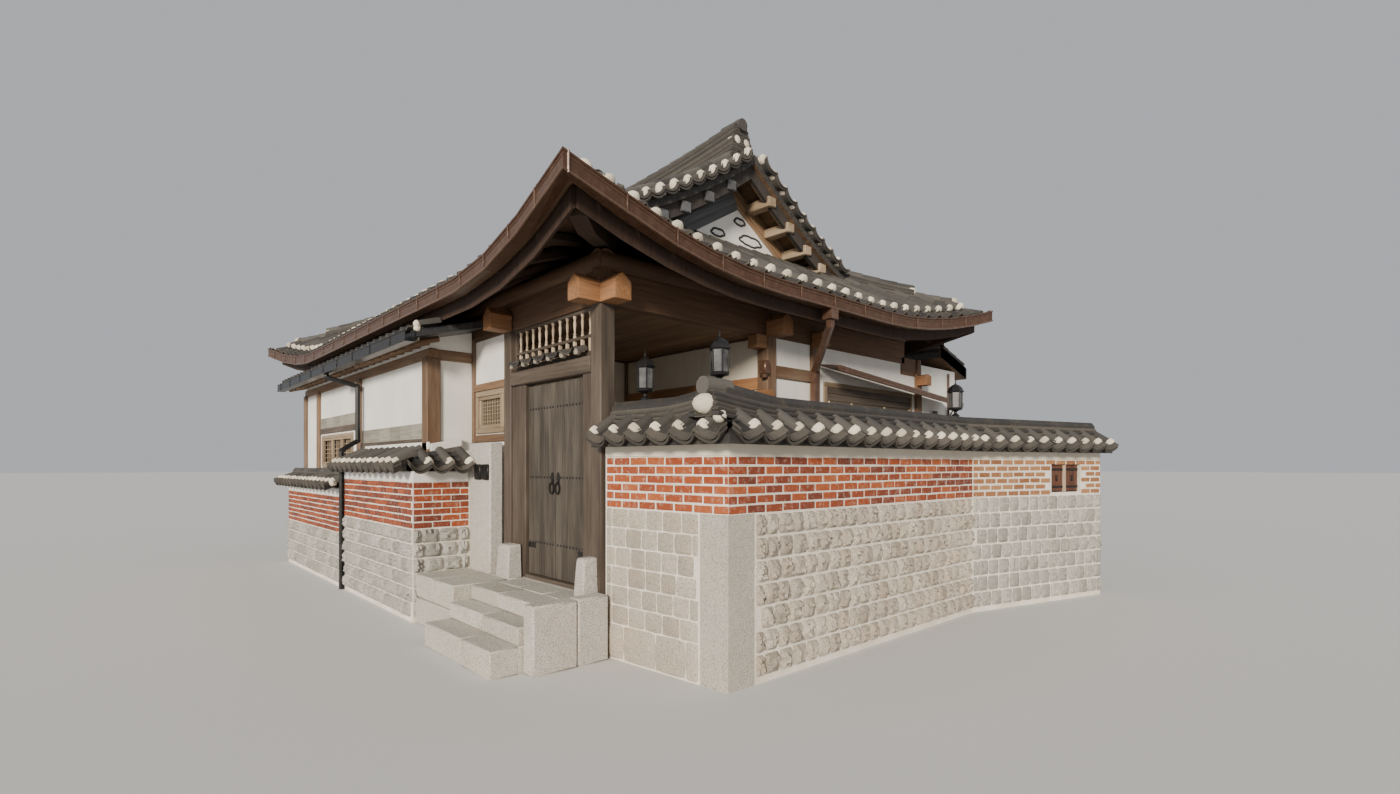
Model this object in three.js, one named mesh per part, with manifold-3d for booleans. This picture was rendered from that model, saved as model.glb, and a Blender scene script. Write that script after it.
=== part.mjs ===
// A corner hanok house: a hip-and-gable tiled house with a covered gate bay, a lean-to wing on its
// left, and tile-capped yard walls of stone and brick. Millimetres, +Z up. The gate face looks
// along -Y and the gable face along +X. Inside this file x = 0, y = 0 is the axis of the corner post.
import * as THREE from "three";
import { mergeVertices } from "three/addons/utils/BufferGeometryUtils.js";
import Module from "manifold-3d";

const wasm = await Module();
wasm.setup();

// Driving dimensions

const GAP = 0.3; // left between touching pieces
const REST = 0.5; // left under a piece that rests on a curved one
const CUT_GAP = 3; // left where curved pieces meet
const BELOW = 700; // depth of a cutter that takes away all that lies under a surface
const CURVE_STEPS = 7; // stations along a curved roof edge
const BOARD_STEPS = 14; // stations along a whole eave

const FLOOR = 550; // stone floor of the gate hall and the rooms
const HOUSE_LEFT = -8900;
const HOUSE_BACK = 5850;
const HALL_LEFT = -2800;
const HALL_BACK = 2360;
const GATE_POST_X = -1800;
const RIGHT_POST_Y = 3220;

const POST = 170;
const BEAM_LOW = 3320;
const BEAM_WIDE = 120;
const BEAM_END = 330; // a crossing beam end, measured from the post's axis
const POST_LAP = 40; // how far a post's top stands in its beam
const RAIL_SETBACK = 15; // a rail's face, behind the post's
const SILL_HIGH = 700; // top of the ground rails
const LOG_WIDE = 210;
const WALL_OUT = 45; // a plaster face, measured out from the line of the posts
const WALL_IN = -105;

const WING_FRONT = -570;
const WING_POSTS = [-5500, -7930];
const WING_BEAM_LOW = 3060;
const WING_BEAM_HIGH = 3190;

const ANNEX_BACK = 7100;
const ANNEX_LEFT = -2600;
const ANNEX_TOP = 3360;

const ROOF_MID_X = -4500;
const ROOF_MID_Y = 2630;
const EAVE_HALF_X = 5440;
const EAVE_HALF_Y = 3570;
const EAVE_Z = 3610; // top of the tile bed at the middle of an eave
const EAVE_INSET = 200; // how far the middle of an eave bows in
const CORNER_LIFT = 490;
const CORNER_REACH = 2600; // the lift dies out this far from a corner
const SLOPE = 0.545;
const SLOPE_CURVE = 1.35e-5; // per millimetre of run
const SHELL = 140;
const GABLE_HALF_X = 3600; // the gable's face, from the middle of the roof
const RAKE_HALF_X = 4060; // edge of the verge tiles
const RAKE_TOP = 5760;
const RAKE_SLOPE = 0.74;
const RAKE_CURVE = 7.8e-5;
const RAKE_FOOT = 1980; // half width of the verge at its foot
const VERGE = 120;
const VERGE_LAP = 20; // how far the verge reaches into the slope
const SLOPE_LAP = 40; // how far the outer parts of a slope reach into its middle
const EAVE_TRIM = 25; // the last station of an eave, from the corner
const SKIRT_STEPS = 5;

const RIDGE_HALF = 3810;
const RIDGE_TOP = 6320;
const RIDGE_DISH = 150;
const RIDGE_WIDE = 260;

const GABLE_FOOT = 4250;
const GABLE_BOARD = [70, 8]; // inner and outer face of the gable wall, in from the gable line
const GABLE_STEPS = 10;
const GABLE_SEAT = 60; // raises the wall's top into the tile bed before it is cut
const BARGE_FACES = [110, 60]; // inner and outer face, in from the verge
const BARGE_DEEP = 170;
const BARGE_LAP = 30; // how far it stands in the verge
const BARGE_BLOCKS = [380, 760, 1140, 1480]; // their places along each rake
const BLOCK_WIDE = 110;
const BLOCK_HIGH = 120;
const BLOCK_SINK = 40; // a block's top under the verge
const BLOCK_END = 30; // a block's outer end, in from the verge's edge
const CORNER_RIDGE_U = 3800; // line of the descending ridges, from the middle of the roof
const RIDGE_STAND = 215; // a ridge's top over the tile bed
const RIDGE_SINK = 90;
const MAIN_RIDGE_SINK = 130;
const RIDGE_NOTCH = 8;
const RIDGE_SHOULDER = 80; // where the round cap starts, under the top
const RIDGE_ROUND = 15;
const RIDGE_CROWN = 0.55; // width of the cap's flat part, of the whole
const CORNER_RIDGE_HALF = 104;
const CORNER_RIDGE_START = 60; // its upper end, from the main ridge
const HIP_TURN = 250; // where the ridge starts to turn onto the hip
const HIP_STEP = 740; // where the upper hip ridge ends, from the corner
const HIP_END = 300;
const HIP_LOW_STAND = 110;
const STRAP_U = [-1600, 0, 1600];
const STRAP_V = [-500, 500];
const STRAP_WIDE = 40;
const STRAP_THICK = 6;
const STRAP_UP = 20; // a strap, over the gutter's floor
const GUTTER_TIP = 130;
const GUTTER_TIP_LIFT = 55;
const GUTTER_TIP_SIZE = [40, 30]; // width and height of the pointed ends
const GUTTER_CLEAR = 6; // its back wall, out from the tile bed

const RAFTER_WIDE = 120;
const RAFTER_STEP = 450;
const FASCIA = 40;
const FASCIA_RUN = 70; // its outer face, in from the eave
const FASCIA_DROP = 72; // its foot, under a straight rafter's
const FASCIA_LAP = 20; // its top, under the shell
const FASCIA_TRIM = 130; // its ends, from the corners
const RAFTER_CLEAR = 10.8; // clearance under the curved tile bed
const RAFTER_FIRST = 300; // the first rafter, from a corner
const RAFTER_RUN = 1140; // how far the rafters run in from the eave
const BACK_RAFTER_RUN = 620;
const FAN_REACH = 2300; // rafters nearer a corner than this fan out
const FAN_SHIFT = 90;
const HIP_SINK = 85; // a hip rafter's top, under the shell
const HIP_HALF = 75;
const HIP_SHAPE = [ // distance in from the corner, and depth there
  [190, 150],
  [420, 230],
  [900, 240],
  [1500, 240],
];

const GUTTER_HIGH = 150;
const GUTTER_DEEP = 120;
const GUTTER_WALL = 8;
const GUTTER_DROP = 30; // gutter's rim below the tile bed

const LEDGE = 5; // how far the stone floor stands out past the posts

const WALL_THICK = 320;
const FRONT_PATH = [
  [118, -48],
  [1600, 80],
  [1640, 4250],
  [2340, 6670],
];
const MASONRY_TOP = 1990;
const STONE_TOP = 1395;
const COPING_TOP = 2390;
const COPING_OUT = 170;

const LEFT_WALL_FACE = -910;
const LEFT_WALL_THICK = 250;
const LEFT_WALL_CORNER = -2450;
const LEFT_WALL_STEP = -5200;
const LEFT_WALL_END = -8900;
const LEFT_WALL_TOP = 1720;
const LEFT_WALL_DROP = 270;

// Materials

const PAINT = {
  tile: [0x4a4740, 0.85, 0],
  timber: [0x8a5a34, 0.7, 0],
  greyTimber: [0x6b5c4e, 0.8, 0],
  plaster: [0xe6e0d2, 0.9, 0],
  granite: [0xb4aa98, 0.85, 0],
  brick: [0xb4623c, 0.85, 0],
  gutter: [0x3d2c24, 0.5, 0.4],
  blackMetal: [0x1c1c1e, 0.45, 0.6],
  brownMetal: [0x6a4a36, 0.5, 0.5],
  lattice: [0x8c6f4c, 0.75, 0],
};

const house = new THREE.Group();

function place(name, paint, geometry, group = house) {
  const [color, roughness, metalness] = PAINT[paint];
  const material = new THREE.MeshStandardMaterial({ color, roughness, metalness });
  const mesh = new THREE.Mesh(geometry, material);
  mesh.name = name;
  group.add(mesh);
  return mesh;
}

// Solids

function solid(geometry) {
  const bare = new THREE.BufferGeometry();
  const source = geometry.index ? geometry.toNonIndexed() : geometry;
  bare.setAttribute("position", source.getAttribute("position").clone());
  const merged = mergeVertices(bare, 1e-3);
  return new wasm.Manifold(
    new wasm.Mesh({
      numProp: 3,
      vertProperties: merged.attributes.position.array,
      triVerts: new Uint32Array(merged.index.array),
    }),
  );
}

function geometryOf(body) {
  const mesh = body.getMesh();
  const geometry = new THREE.BufferGeometry();
  geometry.setAttribute("position", new THREE.BufferAttribute(new Float32Array(mesh.vertProperties), 3));
  geometry.setIndex(new THREE.BufferAttribute(new Uint32Array(mesh.triVerts), 1));
  return geometry;
}

function join(...geometries) {
  return geometryOf(geometries.map(solid).reduce((all, one) => all.add(one)));
}

function cut(geometry, ...tools) {
  return geometryOf(tools.map(solid).reduce((rest, tool) => rest.subtract(tool), solid(geometry)));
}

function box([x0, x1, y0, y1, z0, z1], grow = 0) {
  const geometry = new THREE.BoxGeometry(x1 - x0 + 2 * grow, y1 - y0 + 2 * grow, z1 - z0 + 2 * grow);
  return geometry.translate((x0 + x1) / 2, (y0 + y1) / 2, (z0 + z1) / 2);
}

function log(from, to, wide, sides = 10) {
  const length = from.distanceTo(to);
  const geometry = new THREE.CylinderGeometry(wide / 2, wide / 2, length, sides);
  const along = to.clone().sub(from).normalize();
  geometry.applyQuaternion(new THREE.Quaternion().setFromUnitVectors(new THREE.Vector3(0, 1, 0), along));
  const middle = from.clone().add(to).multiplyScalar(0.5);
  return geometry.translate(middle.x, middle.y, middle.z);
}

// A closed loft: the same number of points at each station, with a flat cap at either end.
function loft(rings) {
  const count = rings[0].length;
  const points = rings.flat();
  const faces = [];
  for (let ring = 0; ring + 1 < rings.length; ring += 1) {
    for (let i = 0; i < count; i += 1) {
      const a = ring * count + i;
      const b = ring * count + ((i + 1) % count);
      faces.push([a, b, b + count], [a, b + count, a + count]);
    }
  }
  for (const [start, flip] of [
    [0, true],
    [(rings.length - 1) * count, false],
  ]) {
    const flat = capOutline(points.slice(start, start + count));
    for (const [i, j, k] of THREE.ShapeUtils.triangulateShape(flat, [])) {
      const one = [start + i, start + j, start + k];
      faces.push(flip === isClockwise(flat) ? one : [one[0], one[2], one[1]]);
    }
  }
  return closedGeometry(points, faces);
}

function isClockwise(outline) {
  return THREE.ShapeUtils.isClockWise(outline);
}

// The outline of a cap, flattened onto the plane in which it is widest.
function capOutline(points) {
  const normal = new THREE.Vector3();
  points.forEach((p, i) => normal.add(p.clone().cross(points[(i + 1) % points.length])));
  const size = [Math.abs(normal.x), Math.abs(normal.y), Math.abs(normal.z)];
  const drop = size.indexOf(Math.max(...size));
  return points.map((p) => {
    const rest = [p.x, p.y, p.z].filter((_, axis) => axis !== drop);
    return new THREE.Vector2(rest[0], rest[1]);
  });
}

function closedGeometry(points, faces) {
  const build = (list) => {
    const geometry = new THREE.BufferGeometry().setFromPoints(points);
    geometry.setIndex(list.flat());
    return geometry;
  };
  const volume = (list) =>
    list.reduce((sum, [a, b, c]) => sum + points[a].dot(points[b].clone().cross(points[c])), 0);
  return build(volume(faces) < 0 ? faces.map(([a, b, c]) => [a, c, b]) : faces);
}

// A profile of [sideways, up] points carried along a path, mitred at its corners and kept upright.
function sweep(profile, path) {
  const rings = path.map((here, i) => {
    const before = path[Math.max(0, i - 1)];
    const after = path[Math.min(path.length - 1, i + 1)];
    const into = new THREE.Vector2(here.x - before.x, here.y - before.y);
    const out = new THREE.Vector2(after.x - here.x, after.y - here.y);
    if (i === 0) into.copy(out);
    if (i === path.length - 1) out.copy(into);
    into.normalize();
    out.normalize();
    const along = into.clone().add(out).normalize();
    const side = new THREE.Vector2(along.y, -along.x);
    const stretch = 1 / Math.max(0.3, along.dot(out));
    const section = typeof profile === "function" ? profile(i) : profile;
    return section.map(
      ([s, up]) =>
        new THREE.Vector3(here.x + side.x * s * stretch, here.y + side.y * s * stretch, here.z + up),
    );
  });
  return loft(rings);
}

// Main roof surface

const ends = [1, -1];

function lift(along) {
  const rest = Math.max(0, 1 - along / CORNER_REACH);
  return CORNER_LIFT * rest * rest;
}

// Height of the tile bed, from the distance to the nearest corner along the eave and the run inwards.
function bedZ(along, run) {
  return EAVE_Z + SLOPE * run + SLOPE_CURVE * run * run + lift(along);
}

function inset(along) {
  const rest = Math.max(0, 1 - along / CORNER_REACH);
  return EAVE_INSET * (1 - rest * rest);
}

// A point over the front or back slope: u runs from the roof's middle, run comes in from the eave.
function slopePoint(face, u, run, up = 0) {
  const along = EAVE_HALF_X - Math.abs(u);
  const y = ROOF_MID_Y + face * (EAVE_HALF_Y - run);
  return new THREE.Vector3(ROOF_MID_X + u, y, bedZ(along, run) + up);
}

// A point over the right or left skirt.
function skirtPoint(face, v, run, up = 0) {
  const along = EAVE_HALF_Y - Math.abs(v);
  const x = ROOF_MID_X + face * (EAVE_HALF_X - run);
  return new THREE.Vector3(x, ROOF_MID_Y + v, bedZ(along, run) + up);
}

function spread(from, to, count) {
  return Array.from({ length: count + 1 }, (_, i) => from + ((to - from) * i) / count);
}

// Stations along an eave, closer together where the corner lifts.
function eaveStations(half, bend) {
  const straight = half - CORNER_REACH;
  const near = spread(half - EAVE_TRIM, straight, CURVE_STEPS);
  const inner = bend - GAP < straight ? [bend - GAP] : [];
  const right = [...near, ...inner];
  return [...right.map((u) => -u), 0, ...right].sort((a, b) => a - b);
}

function shell(stations, pointAt, half, runTop, thick, steps) {
  const rings = [...new Set(stations)].map((u) => {
    const along = half - Math.abs(u);
    const first = inset(along);
    const last = runTop(u) - GAP;
    const runs = spread(first, last, steps);
    const top = runs.map((run) => pointAt(u, run));
    const under = runs.map((run) => pointAt(u, run, -thick)).reverse();
    return [...top, ...under];
  });
  return loft(rings);
}

function rakeZ(dy) {
  return RAKE_TOP - RAKE_SLOPE * dy + RAKE_CURVE * dy * dy;
}

// The strip of verge tiles that overhangs the gable, joined to the slope.
function verge(face, end) {
  const rings = [GABLE_HALF_X - VERGE_LAP, RAKE_HALF_X].map((u) => {
    const list = spread(GAP, RAKE_FOOT, CURVE_STEPS);
    const point = (dy, up) =>
      new THREE.Vector3(ROOF_MID_X + end * u, ROOF_MID_Y + face * dy, rakeZ(dy) + up);
    return [...list.map((dy) => point(dy, 0)), ...list.map((dy) => point(dy, -VERGE)).reverse()];
  });
  return loft(rings);
}

// The middle part runs up to the ridge; the part beyond each gable stops at its hip.
function mainSlope(face) {
  const edge = GABLE_HALF_X - GAP;
  const stations = eaveStations(EAVE_HALF_X, GABLE_HALF_X);
  const bed = (list, top) =>
    shell(
      list.sort((a, b) => a - b),
      (u, run, up) => slopePoint(face, u, run, up),
      EAVE_HALF_X,
      top,
      SHELL,
      CURVE_STEPS,
    );
  const middle = stations.filter((u) => Math.abs(u) < edge);
  const inner = bed([-edge, ...middle, edge], () => EAVE_HALF_Y);
  const outer = ends.map((end) => {
    const beyond = stations.filter((u) => end * u > edge);
    const list = [end * (GABLE_HALF_X - SLOPE_LAP), ...beyond];
    return bed(list, (u) => Math.min(EAVE_HALF_X - Math.abs(u), EAVE_HALF_Y));
  });
  const verges = ends.map((end) => cut(verge(face, end), sideSkirt(end, BELOW, 0).translate(0, 0, CUT_GAP)));
  return join(inner, ...outer, ...verges);
}

function sideSkirt(face, thick = SHELL, gap = CUT_GAP) {
  const half = EAVE_HALF_Y;
  const run = EAVE_HALF_X - GABLE_HALF_X;
  const flat = half - run;
  const list = [...eaveStations(half, flat), flat, -flat].sort((a, b) => a - b);
  const top = (v) => Math.min(half - Math.abs(v), run) - gap;
  return shell(list, (v, r, up) => skirtPoint(face, v, r, up), half, top, thick, SKIRT_STEPS);
}

place("front_roof_slope", "tile", mainSlope(-1));
place("back_roof_slope", "tile", mainSlope(1));
place("right_roof_skirt", "tile", sideSkirt(1));
place("left_roof_skirt", "tile", sideSkirt(-1));

// The whole tile bed as one cutter, for the pieces that lie on it or under it.
const wholeBed = join(mainSlope(-1), mainSlope(1), sideSkirt(1, SHELL, 0), sideSkirt(-1, SHELL, 0));
const bedBelow = (by) => wholeBed.clone().translate(0, 0, -by);

// Rafters: round logs under an eave, fanned out towards the corners, joined by the board on their tips

function eaveBoard(pointAt, half) {
  const rings = spread(FASCIA_TRIM - half, half - FASCIA_TRIM, BOARD_STEPS).map((u) => {
    const run = inset(half - Math.abs(u)) + FASCIA_RUN;
    const [low, high] = [-SHELL - RAFTER_WIDE - FASCIA_DROP, -SHELL - FASCIA_LAP];
    const list = [
      [run, high],
      [run, low],
      [run + FASCIA, low],
      [run + FASCIA, high],
    ];
    return list.map(([r, up]) => pointAt(u, r, up));
  });
  return loft(rings);
}

// A rafter from the wall to the eave, lowered until it clears the curved bed all along.
function rafter(pointAt, rootPlace, tipPlace) {
  const under = -SHELL - RAFTER_WIDE / 2 - RAFTER_CLEAR;
  const tip = pointAt(...tipPlace, under);
  const foot = pointAt(...rootPlace, under);
  const over = spread(0, 1, 8).map((t) => {
    const [u, run] = [0, 1].map((i) => rootPlace[i] + (tipPlace[i] - rootPlace[i]) * t);
    return foot.z + (tip.z - foot.z) * t - pointAt(u, run, under).z;
  });
  const drop = Math.max(...over);
  foot.z -= drop;
  tip.z -= drop;
  return log(foot, tip, RAFTER_WIDE, 6);
}

function rafters(pointAt, half, depth) {
  const last = half - RAFTER_FIRST;
  const tips = spread(-last, last, Math.round((2 * last) / RAFTER_STEP));
  const logs = tips.map((u) => {
    const along = half - Math.abs(u);
    const tipRun = inset(along) + FASCIA_RUN + FASCIA / 2;
    const turn = (along - tipRun) / (FAN_REACH - tipRun);
    const fanned = depth + turn * (FAN_REACH - depth) + FAN_SHIFT;
    const inner = Math.sign(u) * (half - (along < FAN_REACH ? fanned : along));
    return rafter(pointAt, [inner, depth], [u, tipRun]);
  });
  return join(eaveBoard(pointAt, half), ...logs);
}

function hipRafter(faceX, faceY) {
  const point = (q, up) =>
    new THREE.Vector3(
      ROOF_MID_X + faceX * (EAVE_HALF_X - q),
      ROOF_MID_Y + faceY * (EAVE_HALF_Y - q),
      bedZ(q, q) - SHELL - HIP_SINK + up,
    );
  const side = new THREE.Vector3(faceY * faceX, -1, 0).normalize().multiplyScalar(HIP_HALF);
  const ring = ([q, low]) => {
    const [top, under] = [point(q, 0), point(q, -low)];
    return [
      top.clone().add(side),
      top.clone().sub(side),
      under.clone().sub(side),
      under.clone().add(side),
    ];
  };
  return loft(HIP_SHAPE.map(ring));
}

const frontEave = (u, run, up) => slopePoint(-1, u, run, up);
const backEave = (u, run, up) => slopePoint(1, u, run, up);
const rightEave = (v, run, up) => skirtPoint(1, v, run, up);
const leftEave = (v, run, up) => skirtPoint(-1, v, run, up);

function longRafters(eave, face, run) {
  return join(rafters(eave, EAVE_HALF_X, run), hipRafter(1, face), hipRafter(-1, face));
}

const frontRafters = longRafters(frontEave, -1, RAFTER_RUN);
const backRafters = longRafters(backEave, 1, BACK_RAFTER_RUN);
place("front_rafters", "timber", frontRafters);
place("back_rafters", "timber", backRafters);

function sideRafters(eave) {
  const all = rafters(eave, EAVE_HALF_Y, RAFTER_RUN);
  return largest(cut(all, grown(frontRafters), grown(backRafters)));
}

// The same solid, pushed out a little on every side by joining copies moved along each axis.
function grown(geometry, by = GAP * 2) {
  const moves = [
    [by, 0, 0],
    [-by, 0, 0],
    [0, by, 0],
    [0, -by, 0],
    [0, 0, by],
    [0, 0, -by],
  ];
  return join(...moves.map(([x, y, z]) => geometry.clone().translate(x, y, z)));
}

function largest(geometry) {
  const bodies = solid(geometry).decompose();
  return geometryOf(bodies.reduce((best, one) => (one.volume() > best.volume() ? one : best)));
}

place("right_rafters", "timber", sideRafters(rightEave));
place("left_rafters", "timber", sideRafters(leftEave));

// Gables: a board wall under the verge, with barge boards on square blocks

const skirtColumn = (end) => sideSkirt(end, BELOW, 0).translate(0, 0, REST);

function gableWall(end) {
  const half = GABLE_HALF_X - EAVE_HALF_X + EAVE_HALF_Y;
  const list = spread(-half, half, GABLE_STEPS);
  const top = (dy) => bedZ(EAVE_HALF_X, EAVE_HALF_Y - Math.abs(dy)) - SHELL + GABLE_SEAT;
  const ring = (u) => {
    const x = ROOF_MID_X + end * u;
    const upper = list.map((dy) => new THREE.Vector3(x, ROOF_MID_Y + dy, top(dy)));
    const lower = [list[list.length - 1], list[0]].map(
      (dy) => new THREE.Vector3(x, ROOF_MID_Y + dy, GABLE_FOOT),
    );
    return [...upper, ...lower];
  };
  const wall = loft(GABLE_BOARD.map((depth) => ring(GABLE_HALF_X - depth)));
  return largest(cut(wall, bedBelow(REST)));
}

function bargeBoards(end) {
  const [inner, outer] = BARGE_FACES.map((depth) => RAKE_HALF_X - depth);
  const half = (face) => {
    const rings = spread(0, RAKE_FOOT, CURVE_STEPS).map((dy) => {
      const y = ROOF_MID_Y + face * dy;
      const [high, low] = [BARGE_LAP, -BARGE_DEEP].map((up) => rakeZ(dy) - VERGE + up);
      return [
        [inner, high],
        [outer, high],
        [outer, low],
        [inner, low],
      ].map(([u, z]) => new THREE.Vector3(ROOF_MID_X + end * u, y, z));
    });
    return loft(rings);
  };
  const blocks = [-1, 1].flatMap((face) =>
    BARGE_BLOCKS.map((dy) => {
      const y = ROOF_MID_Y + face * dy;
      const top = rakeZ(dy) - VERGE - BLOCK_SINK;
      const faces = [GABLE_HALF_X - VERGE_LAP, RAKE_HALF_X - BLOCK_END];
      const [x0, x1] = faces.map((u) => ROOF_MID_X + end * u).sort((a, b) => a - b);
      return box([x0, x1, y - BLOCK_WIDE / 2, y + BLOCK_WIDE / 2, top - BLOCK_HIGH, top]);
    }),
  );
  const all = join(half(-1), half(1), ...blocks);
  return largest(cut(all, bedBelow(REST), skirtColumn(end)));
}

for (const [end, side] of [
  [1, "right"],
  [-1, "left"],
]) {
  place(side + "_gable", "greyTimber", join(gableWall(end), bargeBoards(end)));
}

// Ridges: layered tiles under a round cap

// Its underside is notched over the line that it covers, and sinks into the bed on either side.
function ridgeSection(half, stand, sink) {
  return [
    [-half, -stand - sink],
    [-RIDGE_NOTCH, CUT_GAP - stand],
    [RIDGE_NOTCH, CUT_GAP - stand],
    [half, -stand - sink],
    [half, -RIDGE_SHOULDER],
    [half * RIDGE_CROWN, -RIDGE_ROUND],
    [0, 0],
    [-half * RIDGE_CROWN, -RIDGE_ROUND],
    [-half, -RIDGE_SHOULDER],
  ];
}

function ridgeCap() {
  const path = spread(-1, 1, 8).map(
    (t) =>
      new THREE.Vector3(ROOF_MID_X + t * RIDGE_HALF, ROOF_MID_Y, RIDGE_TOP - RIDGE_DISH * (1 - t * t)),
  );
  const section = (i) => ridgeSection(RIDGE_WIDE / 2, path[i].z - RAKE_TOP, MAIN_RIDGE_SINK);
  return sweep(section, path);
}

// A descending ridge over the verge that turns onto the hip, with a lower step at its foot.
function cornerRidge(end, face) {
  const point = (u, dy, z) => new THREE.Vector3(ROOF_MID_X + end * u, ROOF_MID_Y + face * dy, z);
  const turnDy = CORNER_RIDGE_U - EAVE_HALF_X + EAVE_HALF_Y;
  const slope = spread(CORNER_RIDGE_START, turnDy - HIP_TURN, 4).map((dy) =>
    point(CORNER_RIDGE_U, dy, rakeZ(dy) + RIDGE_STAND),
  );
  const hipTop = (q, stand) => point(EAVE_HALF_X - q, EAVE_HALF_Y - q, bedZ(q, q) + stand);
  const hip = spread(EAVE_HALF_X - CORNER_RIDGE_U, HIP_STEP, 4).map((q) => hipTop(q, RIDGE_STAND));
  const low = spread(HIP_STEP - 4, HIP_END, 2).map((q) => hipTop(q, HIP_LOW_STAND));
  const high = [...slope, ...hip];
  const stand = (i) => (i < high.length ? RIDGE_STAND : HIP_LOW_STAND);
  return sweep((i) => ridgeSection(CORNER_RIDGE_HALF, stand(i), RIDGE_SINK), [...high, ...low]);
}

const cornerRidges = ends.flatMap((end) => [cornerRidge(end, -1), cornerRidge(end, 1)]);
const bedZone = join(bedBelow(GAP), wholeBed, bedBelow(-CUT_GAP));
const ridges = cut(join(ridgeCap(), ...cornerRidges), bedZone);
place("roof_ridges", "tile", largest(ridges));

// Gutters: an open channel round two sides of the eaves, with a pointed tip past either end

function channel(from, to, high, low, wall) {
  return [
    [from, high],
    [from, low],
    [to, low],
    [to, high],
    [to - wall, high],
    [to - wall, low + wall],
    [from + wall, low + wall],
    [from + wall, high],
  ];
}

function eaveEdge(eave, half, values) {
  return values.map((u) => eave(u, inset(half - Math.abs(u)), 0));
}

// It follows the first eave and then the second, both backwards where turned.
function mainGutter(first, second, turned, tips) {
  const [a, b] = [
    [first, EAVE_HALF_X],
    [second, EAVE_HALF_Y],
  ].map(([eave, half]) => eaveEdge(eave, half, spread(-half, half, BOARD_STEPS)));
  const path = turned ? [...a.reverse(), ...b.reverse().slice(1)] : [...a, ...b.slice(1)];
  const trim = (end, next) => {
    const back = end.clone().sub(next).setZ(0).normalize();
    return tips
      ? end.clone().addScaledVector(back, GUTTER_TIP).setZ(end.z + GUTTER_TIP_LIFT)
      : end.clone().addScaledVector(back, -GUTTER_DEEP - STRAP_WIDE);
  };
  const start = trim(path[0], path[1]);
  const end = trim(path[path.length - 1], path[path.length - 2]);
  const full = [start, ...(tips ? path : path.slice(1, -1)), end];
  const section = (i) => {
    const pointed = tips && (i === 0 || i === full.length - 1);
    const [wide, high] = pointed ? GUTTER_TIP_SIZE : [GUTTER_DEEP, GUTTER_HIGH];
    return channel(GUTTER_CLEAR, GUTTER_CLEAR + wide, -GUTTER_DROP, -GUTTER_DROP - high, GUTTER_WALL);
  };
  return sweep(section, full);
}

// Straps from a gutter's back wall to the eave board, where the eave runs straight.
function gutterStraps(pointAt, values) {
  const up = STRAP_UP - GUTTER_DROP - GUTTER_HIGH;
  return values.map((u) => {
    const corners = [u - STRAP_WIDE / 2, u + STRAP_WIDE / 2].flatMap((side) => [
      pointAt(side, EAVE_INSET - GUTTER_CLEAR - GUTTER_WALL / 2, up),
      pointAt(side, EAVE_INSET + FASCIA_RUN - GAP, up),
    ]);
    const { min, max } = new THREE.Box3().setFromPoints(corners);
    return box([min.x, max.x, min.y, max.y, min.z, min.z + STRAP_THICK]);
  });
}

const frontGutter = mainGutter(frontEave, rightEave, false, true);
const backGutter = mainGutter(backEave, leftEave, true, false);
const frontStraps = [...gutterStraps(frontEave, STRAP_U), ...gutterStraps(rightEave, STRAP_V)];
const backStraps = [...gutterStraps(backEave, STRAP_U), ...gutterStraps(leftEave, STRAP_V)];
place("front_right_gutter", "gutter", join(frontGutter, ...frontStraps));
place("back_left_gutter", "gutter", join(largest(cut(backGutter, grown(frontGutter, 4))), ...backStraps));

// Stone floor and steps

function prism(outline, low, high) {
  const shape = new THREE.Shape(outline.map(([x, y]) => new THREE.Vector2(x, y)));
  return new THREE.ExtrudeGeometry(shape, { depth: high - low, bevelEnabled: false }).translate(0, 0, low);
}

const EDGE = POST / 2 + LEDGE;
const WING_EDGE = WING_FRONT - 70;
const HALL_EDGE = HALL_LEFT + EDGE - 2;

place(
  "stone_floor",
  "granite",
  prism(
    [
      [EDGE, -EDGE],
      [EDGE, ANNEX_BACK + EDGE],
      [ANNEX_LEFT - EDGE, ANNEX_BACK + EDGE],
      [ANNEX_LEFT - EDGE, HOUSE_BACK + EDGE],
      [HOUSE_LEFT - EDGE, HOUSE_BACK + EDGE],
      [HOUSE_LEFT - EDGE, WING_EDGE],
      [HALL_EDGE, WING_EDGE],
      [HALL_EDGE, -EDGE],
    ],
    0,
    FLOOR,
  ),
);

const STEP_LEFT = -1400;
const STEP_RIGHT = 50;
const STEP_BACK = -EDGE - GAP;
const LANDING_FRONT = -690;
const LOWER_STEPS = [ // front, back, top
  [-910, LANDING_FRONT + 40, 400],
  [-1160, -880, 240],
];
const SIDE_LAP = 10; // how far the side blocks reach into the steps
const SIDE_TOP = FLOOR + 10;
const SIDE_BACK = -260;
const PIER_LEFT = LEFT_WALL_CORNER + 1;
const PIER_RIGHT = -1890;
const PIER_TOP = 2050;
const JAMB_STONE_FRONT = -250;

place(
  "gate_steps",
  "granite",
  join(
    taperedStone(-120, STEP_RIGHT - 5, 920),
    taperedStone(-1740, -1450, 910),
    box([STEP_LEFT, STEP_RIGHT, LANDING_FRONT, STEP_BACK, 0, FLOOR]),
    ...LOWER_STEPS.map(([front, back, top]) => box([STEP_LEFT, STEP_RIGHT, front, back, 0, top])),
    box([PIER_LEFT, STEP_LEFT + SIDE_LAP, -880, SIDE_BACK, 0, SIDE_TOP]),
    box([PIER_RIGHT + 5, STEP_LEFT + SIDE_LAP, SIDE_BACK - SIDE_LAP, STEP_BACK, 0, SIDE_TOP]),
  ),
);
place("step_cheek_stone", "granite", box([STEP_RIGHT + GAP, 230, -860, STEP_BACK, 0, 600]));

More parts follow.
